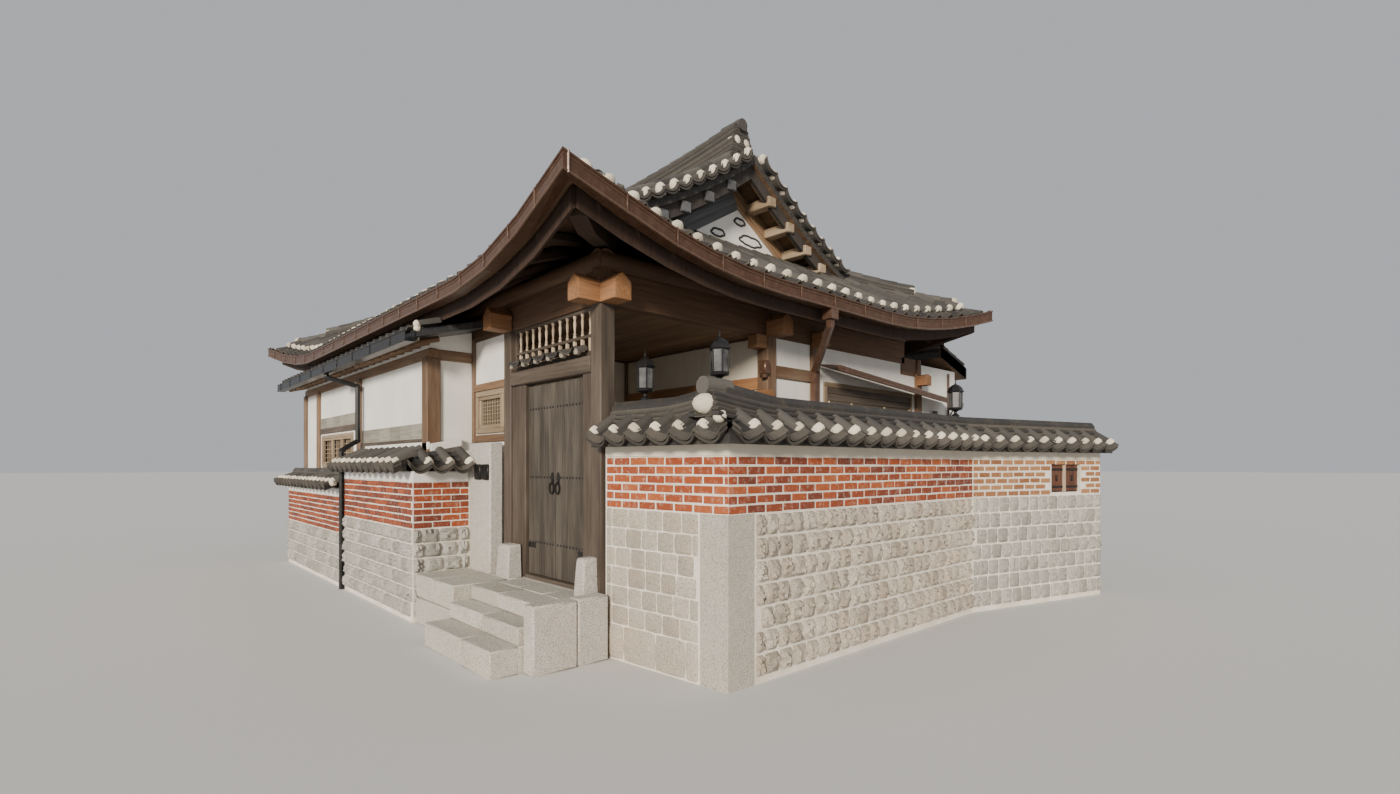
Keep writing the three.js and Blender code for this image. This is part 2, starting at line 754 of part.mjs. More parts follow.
// A jamb's footing stone, slimmer towards its top.
function taperedStone(x0, x1, high) {
  const ring = (z, slim) => [
    new THREE.Vector3(x0 + slim, JAMB_STONE_FRONT + slim, z),
    new THREE.Vector3(x1 - slim, JAMB_STONE_FRONT + slim, z),
    new THREE.Vector3(x1 - slim, STEP_BACK, z),
    new THREE.Vector3(x0 + slim, STEP_BACK, z),
  ];
  return loft([ring(FLOOR - 20, 0), ring(high - 60, 15), ring(high, 45)]);
}

place("gate_pier", "granite", box([PIER_LEFT, PIER_RIGHT, JAMB_STONE_FRONT, STEP_BACK, 0, PIER_TOP]));

// Timber frames: square posts, squared beams and the round purlins on them

const LOG_SEAT = 22.5; // the lowest rafter then just clears the purlin
const LOG_LAP = 15; // how far a purlin sits in its beam

// The underside of a straight rafter over the line of the posts.
function rafterUnder() {
  const run = EAVE_HALF_X + ROOF_MID_X;
  const tipRun = EAVE_INSET + FASCIA_RUN + FASCIA / 2;
  const bow = ((RAFTER_RUN - tipRun) / 2) ** 2 * SLOPE_CURVE;
  return bedZ(EAVE_HALF_X, run) - SHELL - RAFTER_WIDE - RAFTER_CLEAR - bow;
}

const LOG_Z = rafterUnder() - LOG_WIDE / 2 - LOG_SEAT;
const BEAM_HIGH = LOG_Z - LOG_WIDE / 2 + LOG_LAP;

const postAt = (x, y, top = BEAM_LOW + POST_LAP) => [
  x - POST / 2,
  x + POST / 2,
  y - POST / 2,
  y + POST / 2,
  FLOOR + GAP,
  top,
];
const beamX = (x0, x1, y, low = BEAM_LOW, high = BEAM_HIGH) => [
  x0,
  x1,
  y - BEAM_WIDE / 2,
  y + BEAM_WIDE / 2,
  low,
  high,
];
const beamY = (x, y0, y1, low = BEAM_LOW, high = BEAM_HIGH) => [
  x - BEAM_WIDE / 2,
  x + BEAM_WIDE / 2,
  y0,
  y1,
  low,
  high,
];
const logX = (x0, x1, y, wide = LOG_WIDE) =>
  log(new THREE.Vector3(x0, y, LOG_Z), new THREE.Vector3(x1, y, LOG_Z), wide);
const logY = (x, y0, y1, wide = LOG_WIDE) =>
  log(new THREE.Vector3(x, y0, LOG_Z), new THREE.Vector3(x, y1, LOG_Z), wide);
const RAIL_OUT = POST / 2 - RAIL_SETBACK;
const RAIL_LAP = 50; // how far a rail's end is from its post's axis
const railX = (x0, x1, y, z0, z1) => [x0, x1, y - RAIL_OUT, y - WALL_OUT - GAP, z0, z1];
const railRight = (y0, y1, z0, z1) => [WALL_OUT + GAP, RAIL_OUT, y0, y1, z0, z1];

// Squared beam ends past a post, each with a low pyramid on top: [wide, low, high, tip, reach].
const CORNER_TIP = [190, 3315, 3485, 3565, BEAM_END];
const BRACKET_TIP = [150, 3170, BEAM_LOW, BEAM_LOW + 10, 260];
const MIDDLE_TIP = [170, 3300, 3470, 3500, 240];
const BACK_TIP = [170, 3020, 3160, 3190, 240];
const TIP_START = POST / 2 - 10;

function beamTip(x, y, outX, outY, [wide, low, high, peak, reach]) {
  const corner = (along, across, z) =>
    new THREE.Vector3(x + outX * along - outY * across, y + outY * along + outX * across, z);
  const ring = (slim, z) => [
    corner(TIP_START + slim, slim - wide / 2, z),
    corner(reach - slim, slim - wide / 2, z),
    corner(reach - slim, wide / 2 - slim, z),
    corner(TIP_START + slim, wide / 2 - slim, z),
  ];
  return loft([ring(0, low), ring(0, high), ring(wide / 2 - 5, peak)]);
}

const hallMembers = [
  postAt(0, 0),
  postAt(0, HALL_BACK),
  postAt(HALL_LEFT, 0),
  postAt(HALL_LEFT, HALL_BACK),
  postAt(GATE_POST_X, 0),
  beamX(HALL_LEFT - POST / 2, POST / 2, 0),
  beamX(HALL_LEFT, POST / 2, HALL_BACK),
  beamY(0, -POST / 2, HALL_BACK + POST / 2),
  beamY(HALL_LEFT, 0, HALL_BACK),
];
const SIDE_RAILS = [
  [2700, 2790],
  [2070, 2160],
];
const HALL_RAILS = [
  [2700, 2850],
  [1950, 2100],
];
const hallRails = [
  ...SIDE_RAILS.map((z) => railX(HALL_LEFT + RAIL_LAP, GATE_POST_X - RAIL_LAP, 0, ...z)),
  ...HALL_RAILS.map((z) => railX(HALL_LEFT + RAIL_LAP, -RAIL_LAP, HALL_BACK, ...z)),
];
const frontPurlinX = [HOUSE_LEFT - POST / 2, POST / 2];
const hallFrame = join(
  ...hallMembers.map((one) => box(one)),
  ...hallRails.map((one) => box(one)),
  logX(...frontPurlinX, 0),
  logY(0, -POST / 2, HALL_BACK + POST / 2),
  beamTip(0, 0, 1, 0, CORNER_TIP),
  beamTip(0, 0, 0, -1, CORNER_TIP),
  beamTip(GATE_POST_X, 0, 0, -1, CORNER_TIP),
  beamTip(0, HALL_BACK, 1, 0, CORNER_TIP),
  beamTip(0, HALL_BACK, 0, -1, BRACKET_TIP),
);
place("gate_hall_frame", "timber", hallFrame);

const BACK_BEAM_LOW = 3160;
const BACK_BEAM_HIGH = 3425;
const HIGH_BEAM_END = 5450; // the high beams and purlins stop here, under the low back eave
const BEAM_LAP = 100; // how far the low beam starts under the high one
const rightStart = HALL_BACK + POST / 2 + GAP;
const rightMembers = [
  postAt(0, RIGHT_POST_Y),
  postAt(0, HOUSE_BACK, BACK_BEAM_LOW + POST_LAP),
  beamY(0, rightStart, HIGH_BEAM_END),
  beamY(0, HIGH_BEAM_END - BEAM_LAP, HOUSE_BACK + POST / 2, BACK_BEAM_LOW, BACK_BEAM_HIGH),
  beamX(-BEAM_END, POST / 2, HOUSE_BACK, BACK_BEAM_LOW, BACK_BEAM_HIGH),
];
const rightRails = [
  railRight(rightStart, RIGHT_POST_Y, 2840, 2990),
  railRight(rightStart, HOUSE_BACK - RAIL_LAP, FLOOR + GAP, SILL_HIGH),
];
place(
  "right_frame",
  "timber",
  join(
    ...rightMembers.map((one) => box(one)),
    ...rightRails.map((one) => box(one)),
    logY(0, rightStart, HIGH_BEAM_END),
    beamTip(0, RIGHT_POST_Y, 1, 0, MIDDLE_TIP),
    beamTip(0, HOUSE_BACK, 1, 0, BACK_TIP),
  ),
);

const MID_BACK_X = [-3100, -6000];
const backMembers = [
  ...MID_BACK_X.map((x) => postAt(x, HOUSE_BACK, BACK_BEAM_LOW + POST_LAP)),
  beamX(HOUSE_LEFT + BEAM_END, -BEAM_END - GAP, HOUSE_BACK, BACK_BEAM_LOW, BACK_BEAM_HIGH),
];
const backRail = [
  HOUSE_LEFT + BEAM_END,
  -BEAM_END,
  HOUSE_BACK + WALL_OUT + GAP,
  HOUSE_BACK + RAIL_OUT,
  FLOOR + GAP,
  SILL_HIGH,
];
place(
  "back_frame",
  "timber",
  join(...[...backMembers, backRail].map((one) => box(one))),
);

const MID_LEFT_Y = HOUSE_BACK / 2;
const leftMembers = [
  postAt(HOUSE_LEFT, 0),
  postAt(HOUSE_LEFT, MID_LEFT_Y),
  postAt(HOUSE_LEFT, HOUSE_BACK, BACK_BEAM_LOW + POST_LAP),
  beamY(HOUSE_LEFT, -POST / 2, HIGH_BEAM_END),
  beamY(HOUSE_LEFT, HIGH_BEAM_END - BEAM_LAP, HOUSE_BACK + POST / 2, BACK_BEAM_LOW, BACK_BEAM_HIGH),
  beamX(HOUSE_LEFT - POST / 2, HOUSE_LEFT + BEAM_END - GAP, HOUSE_BACK, BACK_BEAM_LOW, BACK_BEAM_HIGH),
];
const leftRail = [
  HOUSE_LEFT - RAIL_OUT,
  HOUSE_LEFT - WALL_OUT - GAP,
  0,
  HOUSE_BACK,
  FLOOR + GAP,
  SILL_HIGH,
];
const leftFrame = join(
  ...leftMembers.map((one) => box(one)),
  box(leftRail),
  logY(HOUSE_LEFT, LOG_WIDE / 2 + 1, HIGH_BEAM_END),
);
const purlinCutter = logX(frontPurlinX[0] - 5, frontPurlinX[1], 0, LOG_WIDE + 2);
place("left_frame", "timber", largest(cut(leftFrame, purlinCutter)));

const wingPost = (x) => postAt(x, WING_FRONT, WING_BEAM_LOW + POST_LAP);
const wingMembers = [
  ...[HALL_LEFT, ...WING_POSTS, HOUSE_LEFT].map(wingPost),
  [
    HOUSE_LEFT - POST / 2,
    HALL_LEFT + POST / 2,
    WING_FRONT - BEAM_WIDE / 2,
    WING_FRONT + BEAM_WIDE / 2,
    WING_BEAM_LOW,
    WING_BEAM_HIGH,
  ],
  [
    HALL_LEFT - BEAM_WIDE / 2,
    HALL_LEFT + BEAM_WIDE / 2,
    WING_FRONT,
    -POST / 2 - GAP,
    WING_BEAM_LOW,
    WING_BEAM_HIGH,
  ],
];
const wingRails = [
  railX(WING_POSTS[0], HALL_LEFT, WING_FRONT, 1990, 2110),
  railX(WING_POSTS[1], WING_POSTS[0], WING_FRONT, 2330, 2420),
  railX(WING_POSTS[1], WING_POSTS[0], WING_FRONT, 1620, 1720),
];
place("wing_frame", "timber", join(...[...wingMembers, ...wingRails].map((one) => box(one))));

// Wing roof: a low shed that tucks in under the main eave

const WING_ROOF_Z = 3290;
const WING_ROOF_SLOPE = 0.27;
const WING_ROOF_THICK = 80;
const WING_ROOF_FRONT = -960;
const WING_ROOF_BACK = -125;
const WING_ROOF_LEFT = HOUSE_LEFT - 120;
const WING_ROOF_RIGHT = -2230;
const WING_GUTTER = [110, 120]; // width and height
const WING_GUTTER_WALL = 6;
const WING_GUTTER_Z = WING_ROOF_Z - 20;
const wingRoofAt = (y) => WING_ROOF_Z + (y - WING_ROOF_FRONT) * WING_ROOF_SLOPE;

function wingRoof([x0, x1], [y0, y1], deep) {
  const ring = (x) =>
    [
      [y0, 0],
      [y1, 0],
      [y1, -deep],
      [y0, -deep],
    ].map(([y, up]) => new THREE.Vector3(x, y, wingRoofAt(y) + up));
  return loft([ring(x0), ring(x1)]);
}

const wingSpan = [WING_ROOF_LEFT, WING_ROOF_RIGHT];
place("wing_roof", "tile", wingRoof(wingSpan, [WING_ROOF_FRONT, WING_ROOF_BACK], WING_ROOF_THICK));
const wingRoofCutter = wingRoof([HOUSE_LEFT - 400, -1900], [-1200, 400], WING_ROOF_THICK + GAP);

const wingEave = [WING_ROOF_LEFT, WING_ROOF_RIGHT + 10].map(
  (x) => new THREE.Vector3(x, WING_ROOF_FRONT, WING_GUTTER_Z),
);
const wingChannel = channel(GAP, WING_GUTTER[0], 0, -WING_GUTTER[1], WING_GUTTER_WALL);
place("wing_gutter", "blackMetal", sweep(wingChannel, wingEave));

// Plaster walls, with pockets for the posts and beams, and windows cut through

function walls(slabs, members, ...cutters) {
  const pockets = members.map((one) => box(one, GAP));
  return largest(cut(join(...slabs.map((one) => box(one))), ...pockets, ...cutters));
}

const LOW = FLOOR + GAP;
const WALL_SINK = 10; // a wall's top, under its beam's
const wallTop = BEAM_HIGH - WALL_SINK;
const backTop = BACK_BEAM_HIGH - WALL_SINK;
const REACH = 300; // how far a window's cutter reaches past the line of its posts

const gateWindow = [-2670, -1930, -REACH, REACH, 2175, 2690];
place(
  "gate_side_wall",
  "plaster",
  walls(
    [
      [
        HALL_LEFT + POST / 2 + GAP,
        GATE_POST_X - POST / 2 - GAP,
        -WALL_OUT,
        -WALL_IN,
        LOW,
        BEAM_LOW - GAP,
      ],
    ],
    [],
    box(gateWindow),
  ),
);

place(
  "gate_hall_walls",
  "plaster",
  walls(
    [
      [HALL_LEFT + WALL_IN, -POST / 2 - GAP, HALL_BACK - WALL_OUT, HALL_BACK - WALL_IN, LOW, wallTop],
      [HALL_LEFT + WALL_IN, HALL_LEFT + WALL_OUT, POST / 2 + GAP, HALL_BACK - WALL_IN, LOW, wallTop],
    ],
    [...hallMembers, ...hallRails],
  ),
);

const rightWindow = [-REACH, REACH, 3420, 5660, 2050, 2880];
place(
  "right_wall",
  "plaster",
  walls(
    [
      [WALL_IN, WALL_OUT, HALL_BACK - WALL_IN + GAP, HIGH_BEAM_END, LOW, wallTop],
      [WALL_OUT - 100, WALL_OUT, rightStart, HIGH_BEAM_END, LOW, wallTop],
      [WALL_IN, WALL_OUT, HIGH_BEAM_END - WALL_SINK, HOUSE_BACK + WALL_OUT, LOW, backTop],
    ],
    [...rightMembers, ...rightRails],
    box(rightWindow),
  ),
);

const backWindow = [-5600, -3500, HOUSE_BACK - REACH, HOUSE_BACK + REACH, 1500, 2700];
place(
  "back_wall",
  "plaster",
  walls(
    [
      [
        HOUSE_LEFT + 40,
        WALL_IN - GAP,
        HOUSE_BACK + WALL_IN,
        HOUSE_BACK + WALL_OUT,
        LOW,
        backTop,
      ],
    ],
    [...backMembers, ...leftMembers, ...rightMembers, backRail],
    box(backWindow),
  ),
);

const leftWindow = [HOUSE_LEFT - REACH, HOUSE_LEFT + REACH, 700, 2300, 1500, 2700];
const WING_BACK_FACE = WING_FRONT - WALL_IN;
place(
  "left_wall",
  "plaster",
  walls(
    [
      [
        HOUSE_LEFT - WALL_OUT,
        HOUSE_LEFT - WALL_IN,
        POST / 2 + GAP,
        HIGH_BEAM_END,
        LOW,
        wallTop,
      ],
      [
        HOUSE_LEFT - WALL_OUT,
        HOUSE_LEFT - WALL_IN,
        HIGH_BEAM_END - WALL_SINK,
        HOUSE_BACK + WALL_IN - GAP,
        LOW,
        backTop,
      ],
    ],
    [...leftMembers, leftRail],
    box(leftWindow),
  ),
);

const wingWindow = [-7700, -5860, WING_FRONT - REACH, WING_FRONT + REACH, 1750, 2300];
const wingWallTop = 3600; // the shed roof cuts it lower
place(
  "wing_wall",
  "plaster",
  walls(
    [
      [HOUSE_LEFT - WALL_OUT, HALL_LEFT + WALL_OUT, WING_FRONT - WALL_OUT, WING_BACK_FACE, LOW, wingWallTop],
      [HALL_LEFT + WALL_IN, HALL_LEFT + WALL_OUT, WING_FRONT, -POST / 2 - GAP, LOW, wingWallTop],
      [HOUSE_LEFT - WALL_OUT, HOUSE_LEFT - WALL_IN, WING_FRONT, -POST / 2 - GAP, LOW, wingWallTop],
    ],
    [...wingMembers, ...wingRails],
    box(wingWindow),
    wingRoofCutter,
  ),
);

// Windows: a frame round a recessed pane

const FRAME_HALF = 70; // half the depth of a window frame
const FRAME_WIDE = 60;
const PANE = [-10, 30]; // inner and outer face of the pane, about the frame's middle plane
const WINDOW_SET = 20; // that plane, in from the line of the posts

// A window that faces out along X or Y, with its recesses cut from both sides of the pane.
function latticeWindow(opening, axis, middle, out) {
  const along = axis === "x" ? [2, 3] : [0, 1];
  const across = axis === "x" ? [0, 1] : [2, 3];
  const bounds = (low, high, margin) => {
    const list = [...opening];
    list[across[0]] = low;
    list[across[1]] = high;
    for (const i of [along[0], 4]) list[i] += margin;
    for (const i of [along[1], 5]) list[i] -= margin;
    return box(list);
  };
  const depth = (from, to) => [middle + out * from, middle + out * to].sort((a, b) => a - b);
  const recess = (from, to) => bounds(...depth(from, to), FRAME_WIDE);
  return cut(
    bounds(middle - FRAME_HALF, middle + FRAME_HALF, GAP),
    recess(PANE[1], FRAME_HALF + 20),
    recess(PANE[0], -FRAME_HALF - 20),
  );
}

place("gate_side_window", "lattice", latticeWindow(gateWindow, "y", WINDOW_SET, -1));
place("wing_window", "lattice", latticeWindow(wingWindow, "y", WING_FRONT + WINDOW_SET, -1));
place("right_window", "lattice", latticeWindow(rightWindow, "x", -WINDOW_SET, 1));
place("back_window", "lattice", latticeWindow(backWindow, "y", HOUSE_BACK - WINDOW_SET, 1));
place("left_window", "lattice", latticeWindow(leftWindow, "x", HOUSE_LEFT + WINDOW_SET, -1));

// Gate: jambs, lintel and threshold, a row of turned balusters over it, and two leaves

const DOOR_LEFT = -1405;
const DOOR_RIGHT = -255;
const DOOR_LOW = 600;
const DOOR_HIGH = 2655;
const DOOR_THICK = 50;
const DOOR_CLEAR = 10;
const PIVOT = 8; // a leaf's pivot, in from its edge and from its inner face, and the pin's radius
const SILL_CLEAR = 12;
const LEAF_PARTING = 6; // half of the gap between the leaves, so that their corners pass
const LINTEL_LOW = 2680;
const LINTEL_HIGH = 2840;
const JAMB_Y = [-65, 45];
const LINTEL_Y = [-95, 55];
const THRESHOLD_Y = [-60, 40];
const gateEnds = [GATE_POST_X + POST / 2 + GAP, -POST / 2 - GAP];

place(
  "gate_frame",
  "greyTimber",
  join(
    box([gateEnds[0], DOOR_LEFT, ...JAMB_Y, LOW, LINTEL_LOW + 20]),
    box([DOOR_RIGHT, gateEnds[1], ...JAMB_Y, LOW, LINTEL_LOW + 20]),
    box([...gateEnds, ...LINTEL_Y, LINTEL_LOW, LINTEL_HIGH]),
    box([...gateEnds, ...THRESHOLD_Y, LOW, DOOR_LOW - SILL_CLEAR]),
  ),
);

const BALUSTERS = 11;
const BALUSTER_END = 110; // the outer balusters, from the posts
const BALUSTER = [ // radius and height of the turned profile
  [0, 2900],
  [20, 2900],
  [20, 3080],
  [11, 3100],
  [18, 3200],
  [11, 3300],
  [0, 3300],
];
const RAIL_Y = [-30, 10];
const MID_RAIL = [3030, 3060];
const TRANSOM_LOW = LINTEL_HIGH + GAP;
const TRANSOM_HIGH = BEAM_LOW - GAP;
const TRANSOM_BAR = 40;
const SHELF = [ // y and height of the small tiled shelf over the lintel, in section
  [-170, 2848],
  [-25, 2898],
  [-25, 2856],
  [-170, TRANSOM_LOW],
];

function turned(profile, sides, x, y, up = 0) {
  const points = profile.map(([r, z]) => new THREE.Vector2(r, z));
  return new THREE.LatheGeometry(points, sides).rotateX(Math.PI / 2).translate(x, y, up);
}

const railMiddle = (RAIL_Y[0] + RAIL_Y[1]) / 2;
const baluster = (x) => turned(BALUSTER, 6, x, railMiddle);
const balusterX = spread(gateEnds[0] + BALUSTER_END, gateEnds[1] - BALUSTER_END, BALUSTERS - 1);
const shelf = loft(gateEnds.map((x) => SHELF.map(([y, z]) => new THREE.Vector3(x, y, z))));
place(
  "gate_transom",
  "greyTimber",
  join(
    box([...gateEnds, ...RAIL_Y, TRANSOM_LOW, TRANSOM_LOW + 2 * TRANSOM_BAR]),
    box([...gateEnds, ...RAIL_Y, ...MID_RAIL]),
    box([...gateEnds, ...RAIL_Y, TRANSOM_HIGH - TRANSOM_BAR, TRANSOM_HIGH]),
    box([gateEnds[0], gateEnds[0] + TRANSOM_BAR, ...RAIL_Y, TRANSOM_LOW, TRANSOM_HIGH]),
    box([gateEnds[1] - TRANSOM_BAR, gateEnds[1], ...RAIL_Y, TRANSOM_LOW, TRANSOM_HIGH]),
    ...balusterX.map(baluster),
    shelf,
  ),
);

const doorMiddle = (DOOR_LEFT + DOOR_RIGHT) / 2;
const leafSpans = {
  left: [DOOR_LEFT + DOOR_CLEAR, doorMiddle - LEAF_PARTING],
  right: [doorMiddle + LEAF_PARTING, DOOR_RIGHT - DOOR_CLEAR],
};

const PULL_Z = 1640;
const PULL_IN = 70; // a ring pull, in from its leaf's free edge
const RING_RADIUS = 48;
const RING_BAR = 7;
const PLATE = [34, 8]; // radius and thickness
const STUD = [12, 22];

// A ring that hangs on a stud through a round plate, on the leaf's outer face.
function ringPull(x) {
  const face = -DOOR_THICK / 2 - GAP;
  const disc = ([radius, thick]) =>
    new THREE.CylinderGeometry(radius, radius, thick, 10).translate(x, face - thick / 2, PULL_Z);
  const ring = new THREE.TorusGeometry(RING_RADIUS, RING_BAR, 6, 14).rotateX(Math.PI / 2);
  ring.translate(x, face - PLATE[1] * 2, PULL_Z - RING_RADIUS + 3);
  return join(disc(PLATE), disc(STUD), ring);
}

for (const [side, [x0, x1]] of Object.entries(leafSpans)) {
  const leaf = box([x0, x1, -DOOR_THICK / 2, DOOR_THICK / 2, DOOR_LOW, DOOR_HIGH]);
  const pivotX = side === "left" ? x0 + PIVOT : x1 - PIVOT;
  const pin = new THREE.CylinderGeometry(PIVOT, PIVOT, LINTEL_LOW - DOOR_LOW + SILL_CLEAR - 2 * GAP, 10);
  pin.rotateX(Math.PI / 2);
  pin.translate(pivotX, DOOR_THICK / 2 - PIVOT, (LINTEL_LOW + DOOR_LOW - SILL_CLEAR) / 2);
  place("gate_leaf_" + side, "greyTimber", join(leaf, pin));
  place("ring_pull_" + side, "blackMetal", ringPull(side === "left" ? x1 - PULL_IN : x0 + PULL_IN));
}

// Annex behind the right-hand corner

const ANNEX_THICK = 150;
place(
  "annex_walls",
  "plaster",
  join(
    box([WALL_OUT - ANNEX_THICK, WALL_OUT, HOUSE_BACK + EDGE, ANNEX_BACK, LOW, ANNEX_TOP]),
    box([ANNEX_LEFT, WALL_OUT, ANNEX_BACK - ANNEX_THICK, ANNEX_BACK, LOW, ANNEX_TOP]),
    box([ANNEX_LEFT, ANNEX_LEFT + ANNEX_THICK, HOUSE_BACK + EDGE, ANNEX_BACK, LOW, ANNEX_TOP]),
  ),
);

const ANNEX_SLOPE = 0.3;
const ANNEX_ROOF_Y = [6510, 7420];
const ANNEX_ROOF_X = [ANNEX_LEFT - 250, WALL_OUT + 60];
const ANNEX_ROOF_THICK = 180;

function annexRoof() {
  const under = (y) => ANNEX_TOP + GAP + (ANNEX_BACK - y) * ANNEX_SLOPE;
  const [front, back] = ANNEX_ROOF_Y;
  const ring = (x) =>
    [
      [front, 0],
      [back, 0],
      [back, ANNEX_ROOF_THICK],
      [front, ANNEX_ROOF_THICK],
    ].map(([y, up]) => new THREE.Vector3(x, y, under(y) + up));
  return loft(ANNEX_ROOF_X.map(ring));
}
place("annex_roof", "tile", annexRoof());

// Awning over the right-hand window

const AWNING_X = POST / 2 + GAP;
const awningPath = [
  new THREE.Vector3(AWNING_X, 3260, 3010),
  new THREE.Vector3(AWNING_X, 6600, 2760),
];
const awningSection = [
  [0, 80],
  [0, 62],
  [330, 10],
  [330, -45],
  [345, -45],
  [345, 24],
];
place("window_awning", "brownMetal", sweep(awningSection, awningPath));

// Downpipes

const PIPE_FOOT = 10;

function pipe(points, wide) {
  const runs = points.slice(1).map((point, i) => log(points[i], point, wide, 7));
  const elbows = points.slice(1, -1).map((point) => {
    return new THREE.IcosahedronGeometry(wide * 0.6, 0).translate(point.x, point.y, point.z);
  });
  return join(...runs, ...elbows);
}

// A square pipe that starts and ends upright, mitred at its bends.
function squarePipe(points, wide) {
  let offsets = [
    [1, 1],
    [1, -1],
    [-1, -1],
    [-1, 1],
  ].map(([a, b]) => new THREE.Vector3((a * wide) / 2, (b * wide) / 2, 0));
  const rings = points.map((point, i) => {
    const into = point.clone().sub(points[Math.max(0, i - 1)]).normalize();
    const out = points[Math.min(points.length - 1, i + 1)].clone().sub(point).normalize();
    const normal = into.clone().add(out).normalize();
    const along = i === 0 ? out : into;
    const slide = (one) => one.clone().addScaledVector(along, -one.dot(normal) / along.dot(normal));
    offsets = offsets.map(slide);
    return offsets.map((one) => point.clone().add(one));
  });
  return loft(rings);
}

const RIGHT_PIPE = 68;
const RIGHT_PIPE_X = 130;
const RIGHT_PIPE_Y = RIGHT_POST_Y - 90;
const OUTLET_BOX = [130, 110]; // width and height
const OUTLET_V = -110; // its place along the right eave, from the middle
const gutterMiddle = GUTTER_CLEAR + GUTTER_DEEP / 2;
const rightOutlet = rightEave(OUTLET_V, EAVE_INSET, -GUTTER_DROP - GUTTER_HIGH - GAP);
rightOutlet.x += gutterMiddle;
const outletBox = box([
  rightOutlet.x - OUTLET_BOX[0] / 2,
  rightOutlet.x + OUTLET_BOX[0] / 2,
  rightOutlet.y - OUTLET_BOX[0] / 2,
  rightOutlet.y + OUTLET_BOX[0] / 2,
  rightOutlet.z - OUTLET_BOX[1],
  rightOutlet.z,
]);
const rightRun = squarePipe(
  [
    new THREE.Vector3(rightOutlet.x, rightOutlet.y, rightOutlet.z - OUTLET_BOX[1] / 2),
    new THREE.Vector3(rightOutlet.x, rightOutlet.y, rightOutlet.z - 180),
    new THREE.Vector3(RIGHT_PIPE_X, RIGHT_PIPE_Y, 2980),
    new THREE.Vector3(RIGHT_PIPE_X, RIGHT_PIPE_Y, PIPE_FOOT),
  ],
  RIGHT_PIPE,
);
place("right_downpipe", "brownMetal", join(outletBox, rightRun));

const WING_PIPE = 70;
const WING_OUTLET = [-5750, WING_ROOF_FRONT - WING_GUTTER[0] / 2, WING_GUTTER_Z - WING_GUTTER[1] - GAP];
const WING_PIPE_X = -5300;
const WING_PIPE_Y = -710; // against the wing's front
const WALL_PIPE_Y = LEFT_WALL_FACE - 40; // against the yard wall
place(
  "wing_downpipe",
  "blackMetal",
  pipe(
    [
      new THREE.Vector3(...WING_OUTLET),
      new THREE.Vector3(WING_OUTLET[0], WING_OUTLET[1], WING_OUTLET[2] - 50),
      new THREE.Vector3(WING_PIPE_X, WING_PIPE_Y, 2950),
      new THREE.Vector3(WING_PIPE_X, WING_PIPE_Y, 2150),
      new THREE.Vector3(LEFT_WALL_STEP, WALL_PIPE_Y, 2000),
      new THREE.Vector3(LEFT_WALL_STEP, WALL_PIPE_Y, PIPE_FOOT),
    ],
    WING_PIPE,
  ),
);

// Front yard wall: masonry with a granite corner pillar, a tiled coping and lanterns

const wallPath = (points, z = 0) => points.map(([x, y]) => new THREE.Vector3(x, y, z));
const slab = (thick, low, high) => [
  [0, low],
  [0, high],
  [-thick, high],
  [-thick, low],
];

function unit(from, to) {
  return new THREE.Vector2(to[0] - from[0], to[1] - from[1]).normalize();
}

const PILLAR = 300;

function cornerPillar(grow = 0) {
  const [start, corner, next] = FRONT_PATH;
  const along = unit(start, corner);
  const up = unit(corner, next);
  const size = PILLAR + grow;
  const at = (a, b) => [corner[0] + along.x * a + up.x * b, corner[1] + along.y * a + up.y * b];
  return prism([at(grow, -grow), at(grow, size), at(-size, size), at(-size, -grow)], -grow, STONE_TOP + grow);
}

place("corner_pillar", "granite", cornerPillar());
place(
  "front_yard_wall",
  "brick",
  cut(sweep(slab(WALL_THICK, 0, MASONRY_TOP), wallPath(FRONT_PATH.slice(0, 3))), cornerPillar(GAP)),
);

const farPath = FRONT_PATH.slice(2);
const farAlong = unit(...farPath);
const farAt = (distance) => [
  farPath[0][0] + farAlong.x * distance,
  farPath[0][1] + farAlong.y * distance,
];
const SHUTTER = [1480, 2080]; // along the far wall
const SHUTTER_Z = [1430, 1800];
const SHUTTER_DEPTH = [20, 120]; // its faces, in from the wall's
const shutterSlab = ([outer, inner], trim = 0) => {
  const path = wallPath([farAt(SHUTTER[0] + trim), farAt(SHUTTER[1] - trim)]);
  const [low, high] = [SHUTTER_Z[0] + trim, SHUTTER_Z[1] - trim];
  return sweep(
    [
      [-outer, low],
      [-outer, high],
      [-inner, high],
      [-inner, low],
    ],
    path,
  );
};
const farLength = Math.hypot(farPath[1][0] - farPath[0][0], farPath[1][1] - farPath[0][1]);
place(
  "far_yard_wall",
  "brick",
  cut(
    sweep(slab(WALL_THICK, 0, MASONRY_TOP), wallPath([farAt(1), farAt(farLength)])),
    sweep(slab(WALL_THICK, -50, MASONRY_TOP + 50), wallPath(FRONT_PATH.slice(1, 3))).translate(1, 1, 0),
    shutterSlab([-60, WALL_THICK + 60]),
  ),
);
place("shutter_window", "timber", shutterSlab(SHUTTER_DEPTH, GAP));

const COPING_LIP = [-40, 30]; // under and top of the coping's eave, about the masonry's top
const COPING_SHOULDER = 215; // foot of the coping's ridge, under its top
const COPING_RIDGE_HALF = 85;
const COPING_CROWN_HALF = 45;
const COPING_RISE = 70; // how far its ridge turns up at the corner
const COPING_RISE_RUN = 700;
const COPING_CAP = 10; // the ridge's round cap, under the stated top

